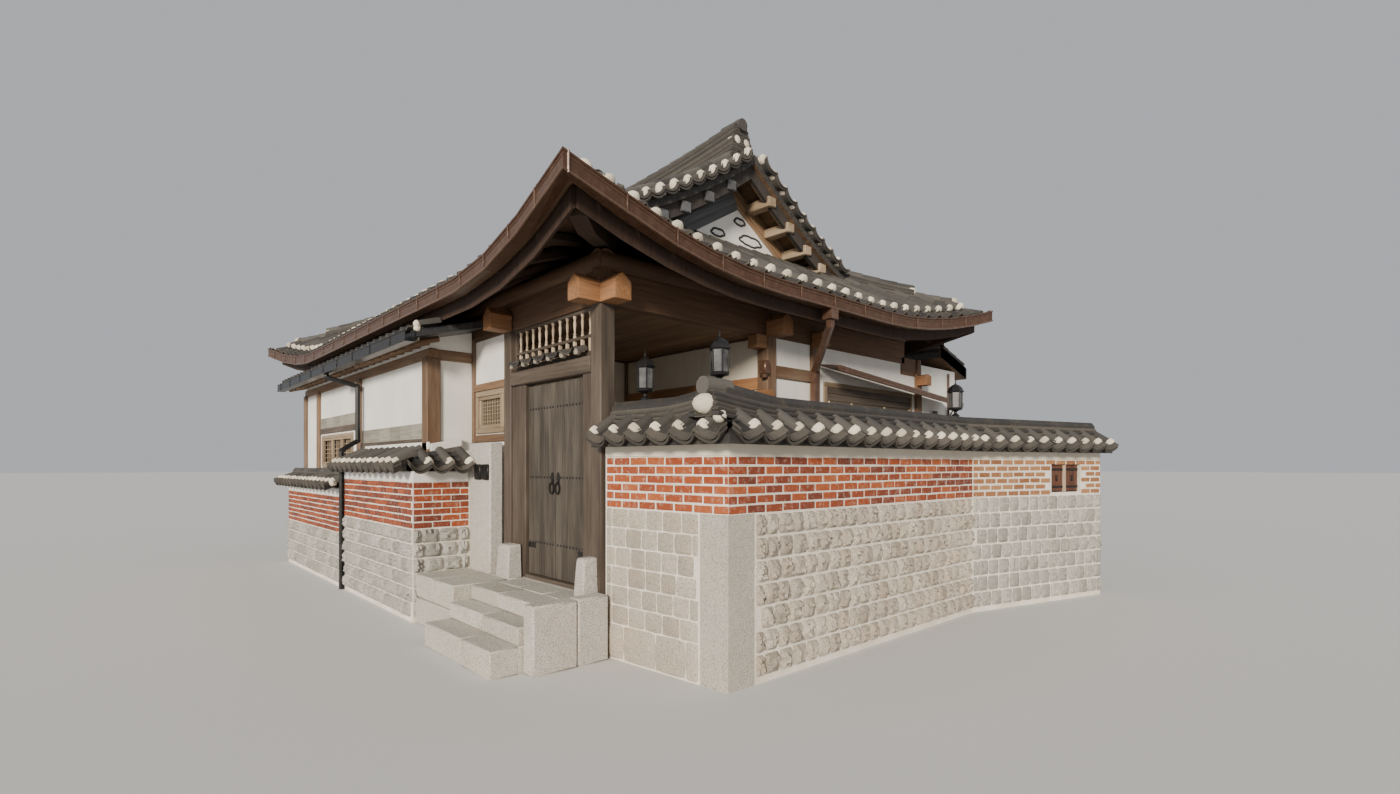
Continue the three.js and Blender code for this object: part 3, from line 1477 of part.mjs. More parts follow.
const half = WALL_THICK / 2;
const copingSlopes = [
  [-WALL_THICK - COPING_OUT, MASONRY_TOP + COPING_LIP[1]],
  [-half - COPING_RIDGE_HALF - 5, COPING_TOP - COPING_SHOULDER],
  [-half + COPING_RIDGE_HALF + 5, COPING_TOP - COPING_SHOULDER],
  [COPING_OUT, MASONRY_TOP + COPING_LIP[1]],
  [COPING_OUT, MASONRY_TOP + COPING_LIP[0]],
  [1, MASONRY_TOP + GAP],
  [-WALL_THICK - 1, MASONRY_TOP + GAP],
  [-WALL_THICK - COPING_OUT, MASONRY_TOP + COPING_LIP[0]],
];
const copingRidge = [
  [-half - COPING_RIDGE_HALF, -COPING_SHOULDER - 35],
  [-half + COPING_RIDGE_HALF, -COPING_SHOULDER - 35],
  [-half + COPING_RIDGE_HALF, -COPING_CAP - 50],
  [-half + COPING_CROWN_HALF, -COPING_CAP],
  [-half - COPING_CROWN_HALF, -COPING_CAP],
  [-half - COPING_RIDGE_HALF, -COPING_CAP - 50],
];

// The ridge's path, with its rise at the corner.
function ridgeStations() {
  const [a, b, c, d] = FRONT_PATH;
  const before = unit(a, b).multiplyScalar(-COPING_RISE_RUN);
  const after = unit(b, c).multiplyScalar(COPING_RISE_RUN);
  return [
    [...a, COPING_TOP],
    [b[0] + before.x, b[1] + before.y, COPING_TOP],
    [...b, COPING_TOP + COPING_RISE],
    [b[0] + after.x, b[1] + after.y, COPING_TOP],
    [...c, COPING_TOP],
    [...d, COPING_TOP],
  ].map(([x, y, z]) => new THREE.Vector3(x, y, z));
}

const frontCoping = join(sweep(copingSlopes, wallPath(FRONT_PATH)), sweep(copingRidge, ridgeStations()));
place("front_coping", "tile", frontCoping);

const LANTERN = [ // radius and height: foot, stem, glass, and roof with its finial
  [0, 0],
  [48, 0],
  [48, 22],
  [20, 34],
  [20, 70],
  [58, 86],
  [70, 110],
  [84, 290],
  [104, 298],
  [60, 350],
  [24, 378],
  [14, 400],
  [8, 455],
  [0, 460],
];
const LANTERNS = { // place on the coping, and the ridge's rise there
  front_lantern: [470, 142, 0],
  corner_lantern: [1340, 242, COPING_RISE - 2],
  far_lantern: [1478, 4150, 0],
};
for (const [name, [x, y, rise]] of Object.entries(LANTERNS)) {
  place(name, "blackMetal", turned(LANTERN, 6, x, y, COPING_TOP - COPING_CAP + rise + GAP));
}

// Left yard wall: one mass of masonry that steps down at the downpipe, and its copings

const RETURN_THICK = 230;
const leftBack = LEFT_WALL_FACE + LEFT_WALL_THICK;
const returnLeft = LEFT_WALL_CORNER - RETURN_THICK;
place(
  "left_yard_wall",
  "brick",
  join(
    box([LEFT_WALL_STEP, LEFT_WALL_CORNER, LEFT_WALL_FACE, leftBack, 0, LEFT_WALL_TOP]),
    box([LEFT_WALL_END, LEFT_WALL_STEP + 10, LEFT_WALL_FACE, leftBack, 0, LEFT_WALL_TOP - LEFT_WALL_DROP]),
    box([returnLeft, LEFT_WALL_CORNER, LEFT_WALL_FACE, STEP_BACK, 0, LEFT_WALL_TOP]),
  ),
);

const LEFT_COPING = { out: 150, lip: 35, shoulder: 110, ridgeHalf: 70, crownHalf: 30, cap: 200, top: 240 };
const STEP_CLEAR = 50; // from the step in the wall to the end of either coping

function leftCoping(thick) {
  const { out, lip, shoulder, ridgeHalf, crownHalf, cap, top } = LEFT_COPING;
  const middle = -thick / 2;
  return [
    [out, -lip],
    [out, lip],
    [middle + ridgeHalf, shoulder],
    [middle + ridgeHalf, cap],
    [middle + crownHalf, top],
    [middle - crownHalf, top],
    [middle - ridgeHalf, cap],
    [middle - ridgeHalf, shoulder],
    [-thick, lip],
    [-thick, GAP],
    [1, GAP],
  ];
}

const upperPath = [
  [LEFT_WALL_STEP + STEP_CLEAR, LEFT_WALL_FACE],
  [LEFT_WALL_CORNER, LEFT_WALL_FACE],
  [LEFT_WALL_CORNER, JAMB_STONE_FRONT - 5],
];
const lowerPath = [
  [LEFT_WALL_END, LEFT_WALL_FACE],
  [LEFT_WALL_STEP - STEP_CLEAR, LEFT_WALL_FACE],
];
const upperCoping = sweep(leftCoping(RETURN_THICK), wallPath(upperPath, LEFT_WALL_TOP));
const lowerCoping = sweep(leftCoping(LEFT_WALL_THICK), wallPath(lowerPath, LEFT_WALL_TOP - LEFT_WALL_DROP));
place("left_coping_upper", "tile", upperCoping);
place("left_coping_lower", "tile", lowerCoping);

// The part's own frame stands on the floor, under the middle of its box.
const bounds = new THREE.Box3().setFromObject(house);
const centre = bounds.getCenter(new THREE.Vector3());
house.position.set(-centre.x, -centre.y, -bounds.min.z);

const root = new THREE.Group();
root.add(house);
export default root;
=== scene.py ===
"""Looks of a corner hanok house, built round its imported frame. Metres, house coordinates unless said."""

import math

import bpy
import numpy as np
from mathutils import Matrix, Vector


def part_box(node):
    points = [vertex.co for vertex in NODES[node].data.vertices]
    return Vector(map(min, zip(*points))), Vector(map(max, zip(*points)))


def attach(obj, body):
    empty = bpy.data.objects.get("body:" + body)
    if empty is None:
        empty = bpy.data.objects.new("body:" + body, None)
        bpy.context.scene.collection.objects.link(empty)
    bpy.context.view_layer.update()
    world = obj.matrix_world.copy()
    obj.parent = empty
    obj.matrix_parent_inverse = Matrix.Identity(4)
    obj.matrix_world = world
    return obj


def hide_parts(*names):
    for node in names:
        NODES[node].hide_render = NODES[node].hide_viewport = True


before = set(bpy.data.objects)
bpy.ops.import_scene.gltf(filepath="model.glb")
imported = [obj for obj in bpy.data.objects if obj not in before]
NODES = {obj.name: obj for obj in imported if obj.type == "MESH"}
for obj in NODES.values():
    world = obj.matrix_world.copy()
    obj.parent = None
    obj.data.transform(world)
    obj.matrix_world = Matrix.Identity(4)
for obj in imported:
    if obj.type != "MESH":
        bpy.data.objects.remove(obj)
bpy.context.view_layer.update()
FLOOR_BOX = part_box("stone_floor")

# The stone floor's far corner in house coordinates gives the way from house to row coordinates.
FLOOR_FAR_CORNER = (0.090, 7.190)
SHIFT = np.array([FLOOR_BOX[1].x - FLOOR_FAR_CORNER[0], FLOOR_BOX[1].y - FLOOR_FAR_CORNER[1], 0.0])
RNG = np.random.default_rng(11)

UP = np.array([0.0, 0.0, 1.0])
EAST = np.array([1.0, 0.0, 0.0])
NORTH = np.array([0.0, 1.0, 0.0])


def unit(vector):
    vector = np.asarray(vector, float)
    return vector / np.linalg.norm(vector)


# Camera: a level pinhole at a standing person's eye, out in the street beyond the corner

EYE = (5.17, -3.54, 1.79)
LOOK = (-0.7325, 0.6807, 0.0)
LENS = 16.714
SENSOR = 36.0
SHIFT_Y = 0.0486


def add_camera():
    data = bpy.data.cameras.new("camera")
    data.lens = LENS
    data.sensor_width = SENSOR
    data.shift_y = SHIFT_Y
    data.clip_end = 500
    camera = bpy.data.objects.new("camera", data)
    bpy.context.scene.collection.objects.link(camera)
    camera.location = Vector(EYE) + Vector(SHIFT)
    camera.rotation_euler = Vector(LOOK).to_track_quat("-Z", "Y").to_euler()
    bpy.context.scene.camera = camera


LIGHT_AIM = (0, 0, 2)
SUNS = (  # name, place, power, angle and colour
    ("key", (10, -15, 7.5), 4.7, 0.20, (1.0, 0.90, 0.77)),
    ("fill", (2, -18, 9), 0.55, 1.0, (0.92, 0.96, 1.0)),
)
SKY, SKY_STRENGTH = (0.86, 0.89, 0.94, 1), 0.56
STUDIO_FLOOR, STUDIO_SIZE = (0.62, 0.61, 0.59, 1), 400


def add_sun(name, place, power, angle, color):
    data = bpy.data.lights.new(name, "SUN")
    data.energy = power
    data.color = color
    data.angle = angle
    light = bpy.data.objects.new(name, data)
    bpy.context.scene.collection.objects.link(light)
    light.location = place
    light.rotation_euler = (Vector(LIGHT_AIM) - Vector(place)).to_track_quat("-Z", "Y").to_euler()


def add_studio():
    world = bpy.data.worlds.new("studio")
    world.use_nodes = True
    background = world.node_tree.nodes["Background"]
    background.inputs["Color"].default_value = SKY
    background.inputs["Strength"].default_value = SKY_STRENGTH
    bpy.context.scene.world = world
    for values in SUNS:
        add_sun(*values)
    bpy.ops.mesh.primitive_plane_add(size=STUDIO_SIZE, location=(0, 0, 0))
    floor = bpy.context.object
    floor.name = "studio_floor"
    material = bpy.data.materials.new("studio_floor")
    material.use_nodes = True
    shader = material.node_tree.nodes["Principled BSDF"]
    shader.inputs["Base Color"].default_value = STUDIO_FLOOR
    shader.inputs["Roughness"].default_value = 0.9
    floor.data.materials.append(material)


# Procedural materials

TONE = "tone"  # one value from 0 to 1 for each block, tile or board
GRAIN = "grain"  # metres along and across a timber member


class Finish:
    """A material in the making: a few nodes into one Principled shader."""

    def __init__(self, name, roughness=0.8, metallic=0.0):
        self.material = bpy.data.materials.new(name)
        self.material.use_nodes = True
        self.tree = self.material.node_tree
        self.shader = self.tree.nodes["Principled BSDF"]
        self.shader.inputs["Roughness"].default_value = roughness
        self.shader.inputs["Metallic"].default_value = metallic
        self.height = None

    def node(self, kind, values=None, **settings):
        made = self.tree.nodes.new("ShaderNode" + kind)
        for key, value in settings.items():
            setattr(made, key, value)
        for key, value in (values or {}).items():
            if isinstance(value, bpy.types.NodeSocket):
                self.tree.links.new(value, made.inputs[key])
            else:
                made.inputs[key].default_value = value
        return made

    def place(self):
        return self.node("TexCoord").outputs["Object"]

    def scaled(self, vector, scale):
        return self.node("Mapping", {"Vector": vector, "Scale": scale}).outputs["Vector"]

    def attribute(self, name, vector=False):
        made = self.node("Attribute", attribute_name=name)
        return made.outputs["Vector" if vector else "Fac"]

    def noise(self, scale, detail=4.0, rough=0.55, vector=None, twist=0.0):
        values = {"Scale": scale, "Detail": detail, "Roughness": rough, "Distortion": twist}
        values["Vector"] = self.place() if vector is None else vector
        return self.node("TexNoise", values).outputs["Fac"]

    def ramp(self, value, stops):
        made = self.node("ValToRGB", {"Fac": value})
        ramp = made.color_ramp
        while len(ramp.elements) < len(stops):
            ramp.elements.new(0.5)
        for element, (at, color) in zip(ramp.elements, stops):
            element.position = at
            element.color = (*color, 1)
        return made.outputs["Color"]

    def fade(self, value, low, high):
        made = self.node("MapRange", {"Value": value, "From Min": low, "From Max": high})
        return made.outputs["Result"]

    def math(self, kind, one, two):
        return self.node("Math", {0: one, 1: two}, operation=kind).outputs[0]

    def mix(self, amount, one, two, how="MIX"):
        made = self.node("Mix", data_type="RGBA", blend_type=how)
        for key, value in (("Factor", amount), ("A", one), ("B", two)):
            socket = next(s for s in made.inputs if s.name == key and s.enabled)
            if isinstance(value, bpy.types.NodeSocket):
                self.tree.links.new(value, socket)
            else:
                socket.default_value = value if key == "Factor" else (*value, 1)
        return next(s for s in made.outputs if s.enabled)

    def stain(self, noise, limits, share, base, color):
        """The base, turned to a colour by up to share where the noise passes its limits."""
        return self.mix(self.math("MULTIPLY", self.fade(noise, *limits), share), base, color)

    def color(self, value):
        self.tree.links.new(value, self.shader.inputs["Base Color"])

    def rough(self, value):
        self.tree.links.new(value, self.shader.inputs["Roughness"])

    def bump(self, value, distance, strength=1.0):
        values = {"Height": value, "Distance": distance, "Strength": strength}
        if self.height is not None:
            values["Normal"] = self.height
        self.height = self.node("Bump", values).outputs["Normal"]
        self.tree.links.new(self.height, self.shader.inputs["Normal"])


def tone_mix(finish, value, dark, light, weight):
    """Part noise, part the block's own tone, as one factor from dark to light."""
    joined = finish.mix(weight, value, finish.attribute(TONE))
    return finish.ramp(joined, [(0.15, dark), (0.85, light)])


def tile_finish(name, dark, light):
    made = Finish(name, 0.62)
    fine = made.noise(38, 5, 0.65)
    base = tone_mix(made, made.noise(1.3, 5, 0.6), dark, light, 0.6)
    mossy = made.stain(made.noise(5.5, 6, 0.7), (0.52, 0.72), 0.55, base, (0.098, 0.078, 0.048))
    made.color(made.stain(fine, (0.58, 0.75), 0.35, mossy, (0.19, 0.17, 0.14)))
    made.rough(made.fade(fine, 1.6, 0.1))
    made.bump(fine, 0.002)
    return made.material


def bed_finish():
    """Tile where a roof's bed faces up, dark board where it faces down."""
    made = Finish("roof_bed", 0.8)
    grain = made.noise(1.6, 6, 0.6, made.scaled(made.place(), (2.0, 14.0, 2.0)))
    fine = made.noise(30, 5, 0.6)
    above = made.ramp(fine, [(0.3, (0.020, 0.019, 0.018)), (0.7, (0.075, 0.068, 0.060))])
    below = made.ramp(grain, [(0.3, (0.115, 0.066, 0.036)), (0.7, (0.25, 0.155, 0.088))])
    normal = made.node("NewGeometry").outputs["Normal"]
    facing_up = made.node("SeparateXYZ", {"Vector": normal}).outputs["Z"]
    made.color(made.mix(made.fade(facing_up, -0.35, -0.15), below, above))
    made.bump(fine, 0.002)
    return made.material


def lip_finish():
    made = Finish("tile_edge", 0.8)
    fine = made.noise(30, 5, 0.6)
    base = tone_mix(made, made.noise(6, 5, 0.6), (0.024, 0.023, 0.022), (0.100, 0.086, 0.068), 0.55)
    made.color(made.mix(made.fade(fine, 0.5, 0.75), base, (0.045, 0.041, 0.037)))
    made.bump(fine, 0.002)
    return made.material


def plaster_finish(name, light, dark, stain):
    made = Finish(name, 0.9)
    broad = made.noise(1.1, 5, 0.55)
    base = made.ramp(broad, [(0.3, dark), (0.65, light)])
    drips = made.noise(1.0, 5, 0.65, made.scaled(made.place(), (5, 5, 0.7)))
    made.color(made.stain(drips, (0.55, 0.8), 0.45, base, stain))
    made.bump(made.noise(55, 6, 0.6), 0.0015)
    made.bump(broad, 0.01, 0.4)
    return made.material


def lime_finish():
    """Hand-pressed plaster at the tile ends."""
    made = Finish("lime_ends", 0.85)
    fine = made.noise(45, 6, 0.6)
    base = tone_mix(made, fine, (0.47, 0.41, 0.31), (0.80, 0.73, 0.60), 0.6)
    made.color(made.stain(made.noise(70, 4, 0.6), (0.6, 0.75), 0.5, base, (0.33, 0.28, 0.21)))
    made.bump(fine, 0.004)
    return made.material


def granite_finish(name, dark, light, warm, speck):
    """Dark and light grains, finer for a higher speck, over a slow change with warm patches."""
    made = Finish(name, 0.75)
    base = tone_mix(made, made.noise(2.2, 5, 0.6), dark, light, 0.5)
    tinted = made.stain(made.noise(3.7, 5, 0.6), (0.5, 0.7), 0.6, base, warm)
    salt = made.noise(speck, 3, 0.6)
    spotted = made.stain(salt, (0.53, 0.60), 0.75, tinted, (0.10, 0.095, 0.09))
    white = made.noise(speck * 0.8, 3, 0.6)
    made.color(made.stain(white, (0.6, 0.68), 0.5, spotted, (0.86, 0.84, 0.80)))
    made.bump(salt, 0.002)
    made.bump(made.noise(24, 6, 0.65), 0.010, 0.8)
    return made.material


def brick_finish(name, stops, lime):
    made = Finish(name, 0.9)
    patches = made.noise(9, 5, 0.6)
    base = made.ramp(made.mix(0.35, made.attribute(TONE), patches), stops)
    made.color(made.stain(made.noise(22, 6, 0.7), (0.52, 0.75), lime, base, (0.72, 0.62, 0.50)))
    made.bump(made.noise(60, 6, 0.65), 0.003)
    made.bump(patches, 0.006, 0.7)
    return made.material


def mortar_finish():
    made = Finish("mortar", 0.95)
    fine = made.noise(70, 6, 0.65)
    base = made.ramp(made.noise(3, 5, 0.6), [(0.3, (0.66, 0.60, 0.50)), (0.7, (0.84, 0.79, 0.70))])
    made.color(made.stain(fine, (0.5, 0.7), 0.35, base, (0.40, 0.36, 0.30)))
    made.bump(fine, 0.004)
    return made.material


def wood_finish(name, dark, light, worn, roughness=0.7, by_grain=True):
    """Grain runs along the first grain coordinate, or along Z on a node that has none."""
    made = Finish(name, roughness)
    place = made.attribute(GRAIN, True) if by_grain else made.place()
    stretch = lambda along, across: (along, across, across) if by_grain else (across, across, along)
    rings = made.noise(1.6, 8, 0.6, made.scaled(place, stretch(1.0, 26.0)), 0.4)
    patches = made.noise(1.5, 4, 0.6, made.scaled(place, stretch(0.6, 3.0)))
    base = made.ramp(rings, [(0.25, dark), (0.7, light)])
    if by_grain:
        shade = made.ramp(made.attribute(TONE), [(0.0, (0.62, 0.60, 0.58)), (1.0, (1.0, 1.0, 1.0))])
        base = made.mix(1.0, base, shade, "MULTIPLY")
    made.color(made.stain(patches, (0.45, 0.75), 0.6, base, worn))
    made.bump(rings, 0.002)
    return made.material


def metal_finish(name, color, dull, roughness=0.45, metallic=0.6):
    """With metallic at 0 it is painted metal with a weak shine."""
    made = Finish(name, roughness, metallic)
    made.color(made.mix(made.fade(made.noise(14, 6, 0.65), 0.45, 0.75), color, dull))
    made.rough(made.fade(made.noise(40, 5, 0.6), -0.4, 2.2))
    made.bump(made.noise(9, 3, 0.5), 0.002, 0.5)
    if metallic == 0.0:
        made.shader.inputs["Specular IOR Level"].default_value = 0.25
    return made.material


def glass_finish():
    made = Finish("lantern_glass", 0.25)
    made.color(made.ramp(made.noise(6, 3), [(0.35, (0.030, 0.029, 0.027)), (0.75, (0.16, 0.155, 0.145))]))
    made.shader.inputs["Coat Weight"].default_value = 0.6
    return made.material


TILE = tile_finish("roof_tile", (0.024, 0.022, 0.021), (0.105, 0.096, 0.084))
TILE_DEEP = tile_finish("channel_tile", (0.014, 0.013, 0.013), (0.052, 0.048, 0.043))
TILE_EDGE = lip_finish()
ROOF_BED = bed_finish()
LIME = lime_finish()
# Painted shade: the lime of the gate lintel's tile ends, made dark grey-brown as if in shade under the gate
# roof.
SHADED_LIME = plaster_finish("lime_painted_shade", (0.34, 0.30, 0.24), (0.22, 0.19, 0.15), (0.12, 0.105, 0.085))
PLASTER = plaster_finish("wall_plaster", (0.82, 0.80, 0.75), (0.72, 0.70, 0.65), (0.50, 0.46, 0.39))
POINTING = plaster_finish(
    "ridge_pointing", (0.115, 0.100, 0.082), (0.070, 0.062, 0.052), (0.045, 0.040, 0.036)
)
CREAM = plaster_finish("cream_plaster", (0.76, 0.69, 0.57), (0.66, 0.59, 0.48), (0.42, 0.36, 0.28))
GRANITE = granite_finish("granite", (0.42, 0.39, 0.33), (0.60, 0.57, 0.49), (0.50, 0.42, 0.31), 120.0)
BLOCKS = granite_finish("wall_blocks", (0.30, 0.255, 0.200), (0.56, 0.495, 0.405), (0.46, 0.36, 0.25), 110.0)
GREY_BLOCKS = granite_finish(
    "grey_blocks", (0.26, 0.245, 0.215), (0.50, 0.475, 0.425), (0.38, 0.345, 0.285), 110.0
)
MORTAR = mortar_finish()
BRICK_STOPS = [
    (0.05, (0.070, 0.021, 0.014)),
    (0.25, (0.155, 0.034, 0.017)),
    (0.55, (0.300, 0.060, 0.016)),
    (0.85, (0.385, 0.100, 0.027)),
    (1.0, (0.40, 0.205, 0.10)),
]
TAN_STOPS = [(0.0, (0.20, 0.075, 0.030)), (0.5, (0.32, 0.140, 0.055)), (1.0, (0.42, 0.22, 0.10))]
BRICK = brick_finish("old_brick", BRICK_STOPS, 0.40)
TAN_BRICK = brick_finish("tan_brick", TAN_STOPS, 0.3)
FRESH_WOOD = wood_finish("fresh_timber", (0.20, 0.085, 0.032), (0.44, 0.220, 0.095), (0.30, 0.18, 0.10))
GREY_WOOD = wood_finish("grey_timber", (0.038, 0.028, 0.020), (0.110, 0.082, 0.060), (0.155, 0.125, 0.098))
PLANK_WOOD = wood_finish("pale_grey_planks", (0.20, 0.185, 0.145), (0.40, 0.385, 0.32), (0.36, 0.34, 0.28))
DARK_WOOD = wood_finish("dark_timber", (0.040, 0.024, 0.016), (0.115, 0.066, 0.040), (0.15, 0.09, 0.055))
# Painted shade: this timber is made nearly black, with a reddish tint, to stand for the deep shade under the
# eaves.
SHADED_EAVE_WOOD = wood_finish(
    "eave_timber_painted_shade", (0.016, 0.009, 0.006), (0.058, 0.029, 0.016), (0.040, 0.022, 0.014), 0.8, False
)
# Painted shade: the door planks are darkened to stand for a shadow cast over the gate leaves.
SHADED_DOOR_WOOD = wood_finish("door_planks_painted_shade", (0.026, 0.021, 0.016), (0.092, 0.075, 0.057), (0.145, 0.125, 0.10))
# Painted shade: the gables' own boards under the verge are made nearly black, as they stand in shadow.
SHADED_BARGE_WOOD = wood_finish(
    "gable_board", (0.018, 0.015, 0.013), (0.055, 0.045, 0.038), (0.06, 0.05, 0.042), 0.8, False
)
# Painted sunlight: the next two are the same weathered gable wood as the blue-grey boards below, made warm
# orange-brown and pale tan as if in sun.
SUN_SIDE_GABLE_WOOD = wood_finish("painted_sunlit_boards", (0.150, 0.088, 0.046), (0.360, 0.225, 0.125), (0.36, 0.27, 0.18))
SUN_SIDE_BLOCK_WOOD = wood_finish("painted_sunlit_blocks", (0.28, 0.20, 0.125), (0.54, 0.41, 0.27), (0.50, 0.40, 0.29))
BEAM_WOOD = wood_finish("beam_timber", (0.060, 0.031, 0.018), (0.185, 0.098, 0.050), (0.14, 0.085, 0.05))
# Painted shade: the same weathered gable wood as the warm rake boards above, made blue-grey as if in shade.
SHADE_SIDE_GABLE_WOOD = wood_finish("painted_shade_boards", (0.060, 0.062, 0.068), (0.150, 0.155, 0.162), (0.18, 0.18, 0.18))
PALE_WOOD = wood_finish("pale_turned_wood", (0.42, 0.30, 0.19), (0.66, 0.54, 0.40), (0.58, 0.48, 0.37))
PANE = metal_finish("dark_pane", (0.035, 0.033, 0.030), (0.075, 0.070, 0.062), 0.35, 0.0)
SPECKLED = granite_finish("light_granite", (0.40, 0.37, 0.33), (0.58, 0.55, 0.49), (0.50, 0.42, 0.33), 110.0)
MID_WOOD = wood_finish("brown_timber", (0.110, 0.060, 0.032), (0.260, 0.155, 0.086), (0.26, 0.20, 0.145))
RED_WOOD = wood_finish("red_brown_boards", (0.060, 0.022, 0.012), (0.165, 0.062, 0.030), (0.11, 0.05, 0.03))
LATTICE = wood_finish("lattice_wood", (0.19, 0.135, 0.082), (0.40, 0.305, 0.20), (0.34, 0.275, 0.20))
GUTTER_BROWN = metal_finish("gutter_brown", (0.066, 0.033, 0.019), (0.105, 0.058, 0.036), 0.7, 0.0)
GUTTER_EDGE = metal_finish("gutter_edge", (0.105, 0.058, 0.035), (0.150, 0.092, 0.060), 0.5, 0.2)
BLACK_METAL = metal_finish("black_metal", (0.010, 0.010, 0.010), (0.022, 0.021, 0.020), 0.75, 0.0)
BROWN_METAL = metal_finish("brown_metal", (0.115, 0.060, 0.038), (0.17, 0.105, 0.075), 0.5, 0.4)
SHEET = metal_finish("wing_sheet", (0.06, 0.062, 0.066), (0.12, 0.118, 0.11), 0.55, 0.4)
GLASS = glass_finish()
INK = plaster_finish("cloud_line", (0.035, 0.034, 0.036), (0.055, 0.052, 0.050), (0.12, 0.11, 0.10))


# Pieces are gathered as points and faces, then made into one mesh each

GRAIN_SPREAD = 40  # each member's grain starts at its own place, this far apart at most


class Shape:
    def __init__(self):
        self.points, self.faces, self.tones, self.grains = [], [], [], []
        self.count = 0

    def add(self, points, faces, tone=None, grain=None):
        points = np.asarray(points, float).reshape(-1, 3)
        if tone is None:
            tone = RNG.random()
        self.points.append(points)
        self.faces.extend(tuple(int(i) + self.count for i in face) for face in faces)
        self.tones.append(np.broadcast_to(np.asarray(tone, float), len(points)))
        self.grains.append(points if grain is None else np.asarray(grain, float))
        self.count += len(points)

    def make(self, name, material, body="house", sharp=38.0):
        points = np.concatenate(self.points) + SHIFT
        mesh = bpy.data.meshes.new(name)
        mesh.from_pydata(points, [], self.faces)
        tone = mesh.attributes.new(TONE, "FLOAT", "POINT")
        tone.data.foreach_set("value", np.concatenate(self.tones).astype(np.float32))
        grain = mesh.attributes.new(GRAIN, "FLOAT_VECTOR", "POINT")
        grain.data.foreach_set("vector", np.concatenate(self.grains).astype(np.float32).ravel())
        mesh.materials.append(material)
        mesh.update()
        mesh.shade_smooth()
        mesh.set_sharp_from_angle(angle=math.radians(sharp))
        piece = bpy.data.objects.new(name, mesh)
        bpy.context.scene.collection.objects.link(piece)
        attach(piece, body)
        return piece


def give(*rows, body="house"):
    """Makes each row's piece: shape, name, material, slot or None, and the nodes it stands for."""
    for shape, name, material, slot, *nodes in rows:
        piece = shape.make(name, material, body)
        if nodes:
            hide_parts(*nodes)


def facing(faces, turn):
    """The faces, each of them turned over if turn is true."""
    return [tuple(reversed(face)) for face in faces] if turn else faces


def grid_faces(rows, columns, closed=False):
    """Quads of a grid of points; closed joins the last column to the first."""
    faces = []
    for row in range(rows - 1):
        for column in range(columns if closed else columns - 1):
            after = (column + 1) % columns
            low, high = row * columns, (row + 1) * columns
            faces.append((low + column, low + after, high + after, high + column))
    return faces


def chamfer_faces():
    """Faces of a box with bevelled edges: point 3 * corner + axis lies on that axis's face."""
    corners = [(a, b, c) for a in (0, 1) for b in (0, 1) for c in (0, 1)]
    number = {corner: i for i, corner in enumerate(corners)}
    faces = []

    def turned(loop, outward):
        spots = []
        for i in loop:
            corner = np.array(corners[i // 3], float) - 0.5
            spots.append(corner + 0.2 * np.eye(3)[i % 3] * np.sign(corner[i % 3]))
        normal = np.cross(spots[1] - spots[0], spots[2] - spots[0])
        return tuple(loop) if normal @ outward > 0 else tuple(reversed(loop))

    def spot(corner, axis):
        return 3 * number[tuple(corner)] + axis

    for axis in range(3):
        one, two = [a for a in range(3) if a != axis]
        for side in (0, 1):
            loop = []
            for a, b in ((0, 0), (1, 0), (1, 1), (0, 1)):
                corner = [0, 0, 0]
                corner[axis], corner[one], corner[two] = side, a, b
                loop.append(spot(corner, axis))
            faces.append(turned(loop, np.eye(3)[axis] * (side - 0.5)))
        for a in (0, 1):
            for b in (0, 1):
                low, high = [0, 0, 0], [0, 0, 0]
                low[one], low[two] = high[one], high[two] = a, b
                low[axis], high[axis] = 0, 1
                loop = [spot(low, one), spot(high, one), spot(high, two), spot(low, two)]
                outward = np.eye(3)[one] * (a - 0.5) + np.eye(3)[two] * (b - 0.5)
                faces.append(turned(loop, outward))
    for corner in corners:
        faces.append(turned([spot(corner, axis) for axis in range(3)], np.array(corner) - 0.5))
    return corners, faces


CORNERS, BOX_FACES = chamfer_faces()
CORNER_SIGNS = np.array(CORNERS, float) * 2 - 1


def block(shape, centre, axes, size, bevel=0.004, tone=None, grain_axis=None):
    """A box with bevelled edges; axes are its three directions and size its lengths along them."""
    axes = np.asarray(axes, float)
    half = np.asarray(size, float) / 2
    bevel = min(bevel, half.min() * 0.6)
    points = []
    for signs in CORNER_SIGNS:
        for axis in range(3):
            reach = half - bevel
            reach[axis] = half[axis]
            points.append(signs * reach)
    local = np.array(points)
    grain = None
    if grain_axis is not None:
        order = [grain_axis] + [a for a in range(3) if a != grain_axis]
        grain = local[:, order] + RNG.random(3) * GRAIN_SPREAD
    faces = facing(BOX_FACES, np.linalg.det(axes) < 0)
    shape.add(local @ axes + np.asarray(centre, float), faces, tone, grain)


def beam(shape, bounds, bevel=0.006, tone=None, along=None):
    """An upright box from its bounds x0, x1, y0, y1, z0, z1, with the grain along its longest side."""
    low, high = np.array(bounds[::2], float), np.array(bounds[1::2], float)
    size = high - low
    axis = int(size.argmax()) if along is None else along
    block(shape, (low + high) / 2, np.eye(3), size, bevel, tone, axis)


def lengths_along(path):
    """How far along a path each of its points is."""
    return np.concatenate([[0], np.cumsum(np.linalg.norm(np.diff(path, axis=0), axis=1))])


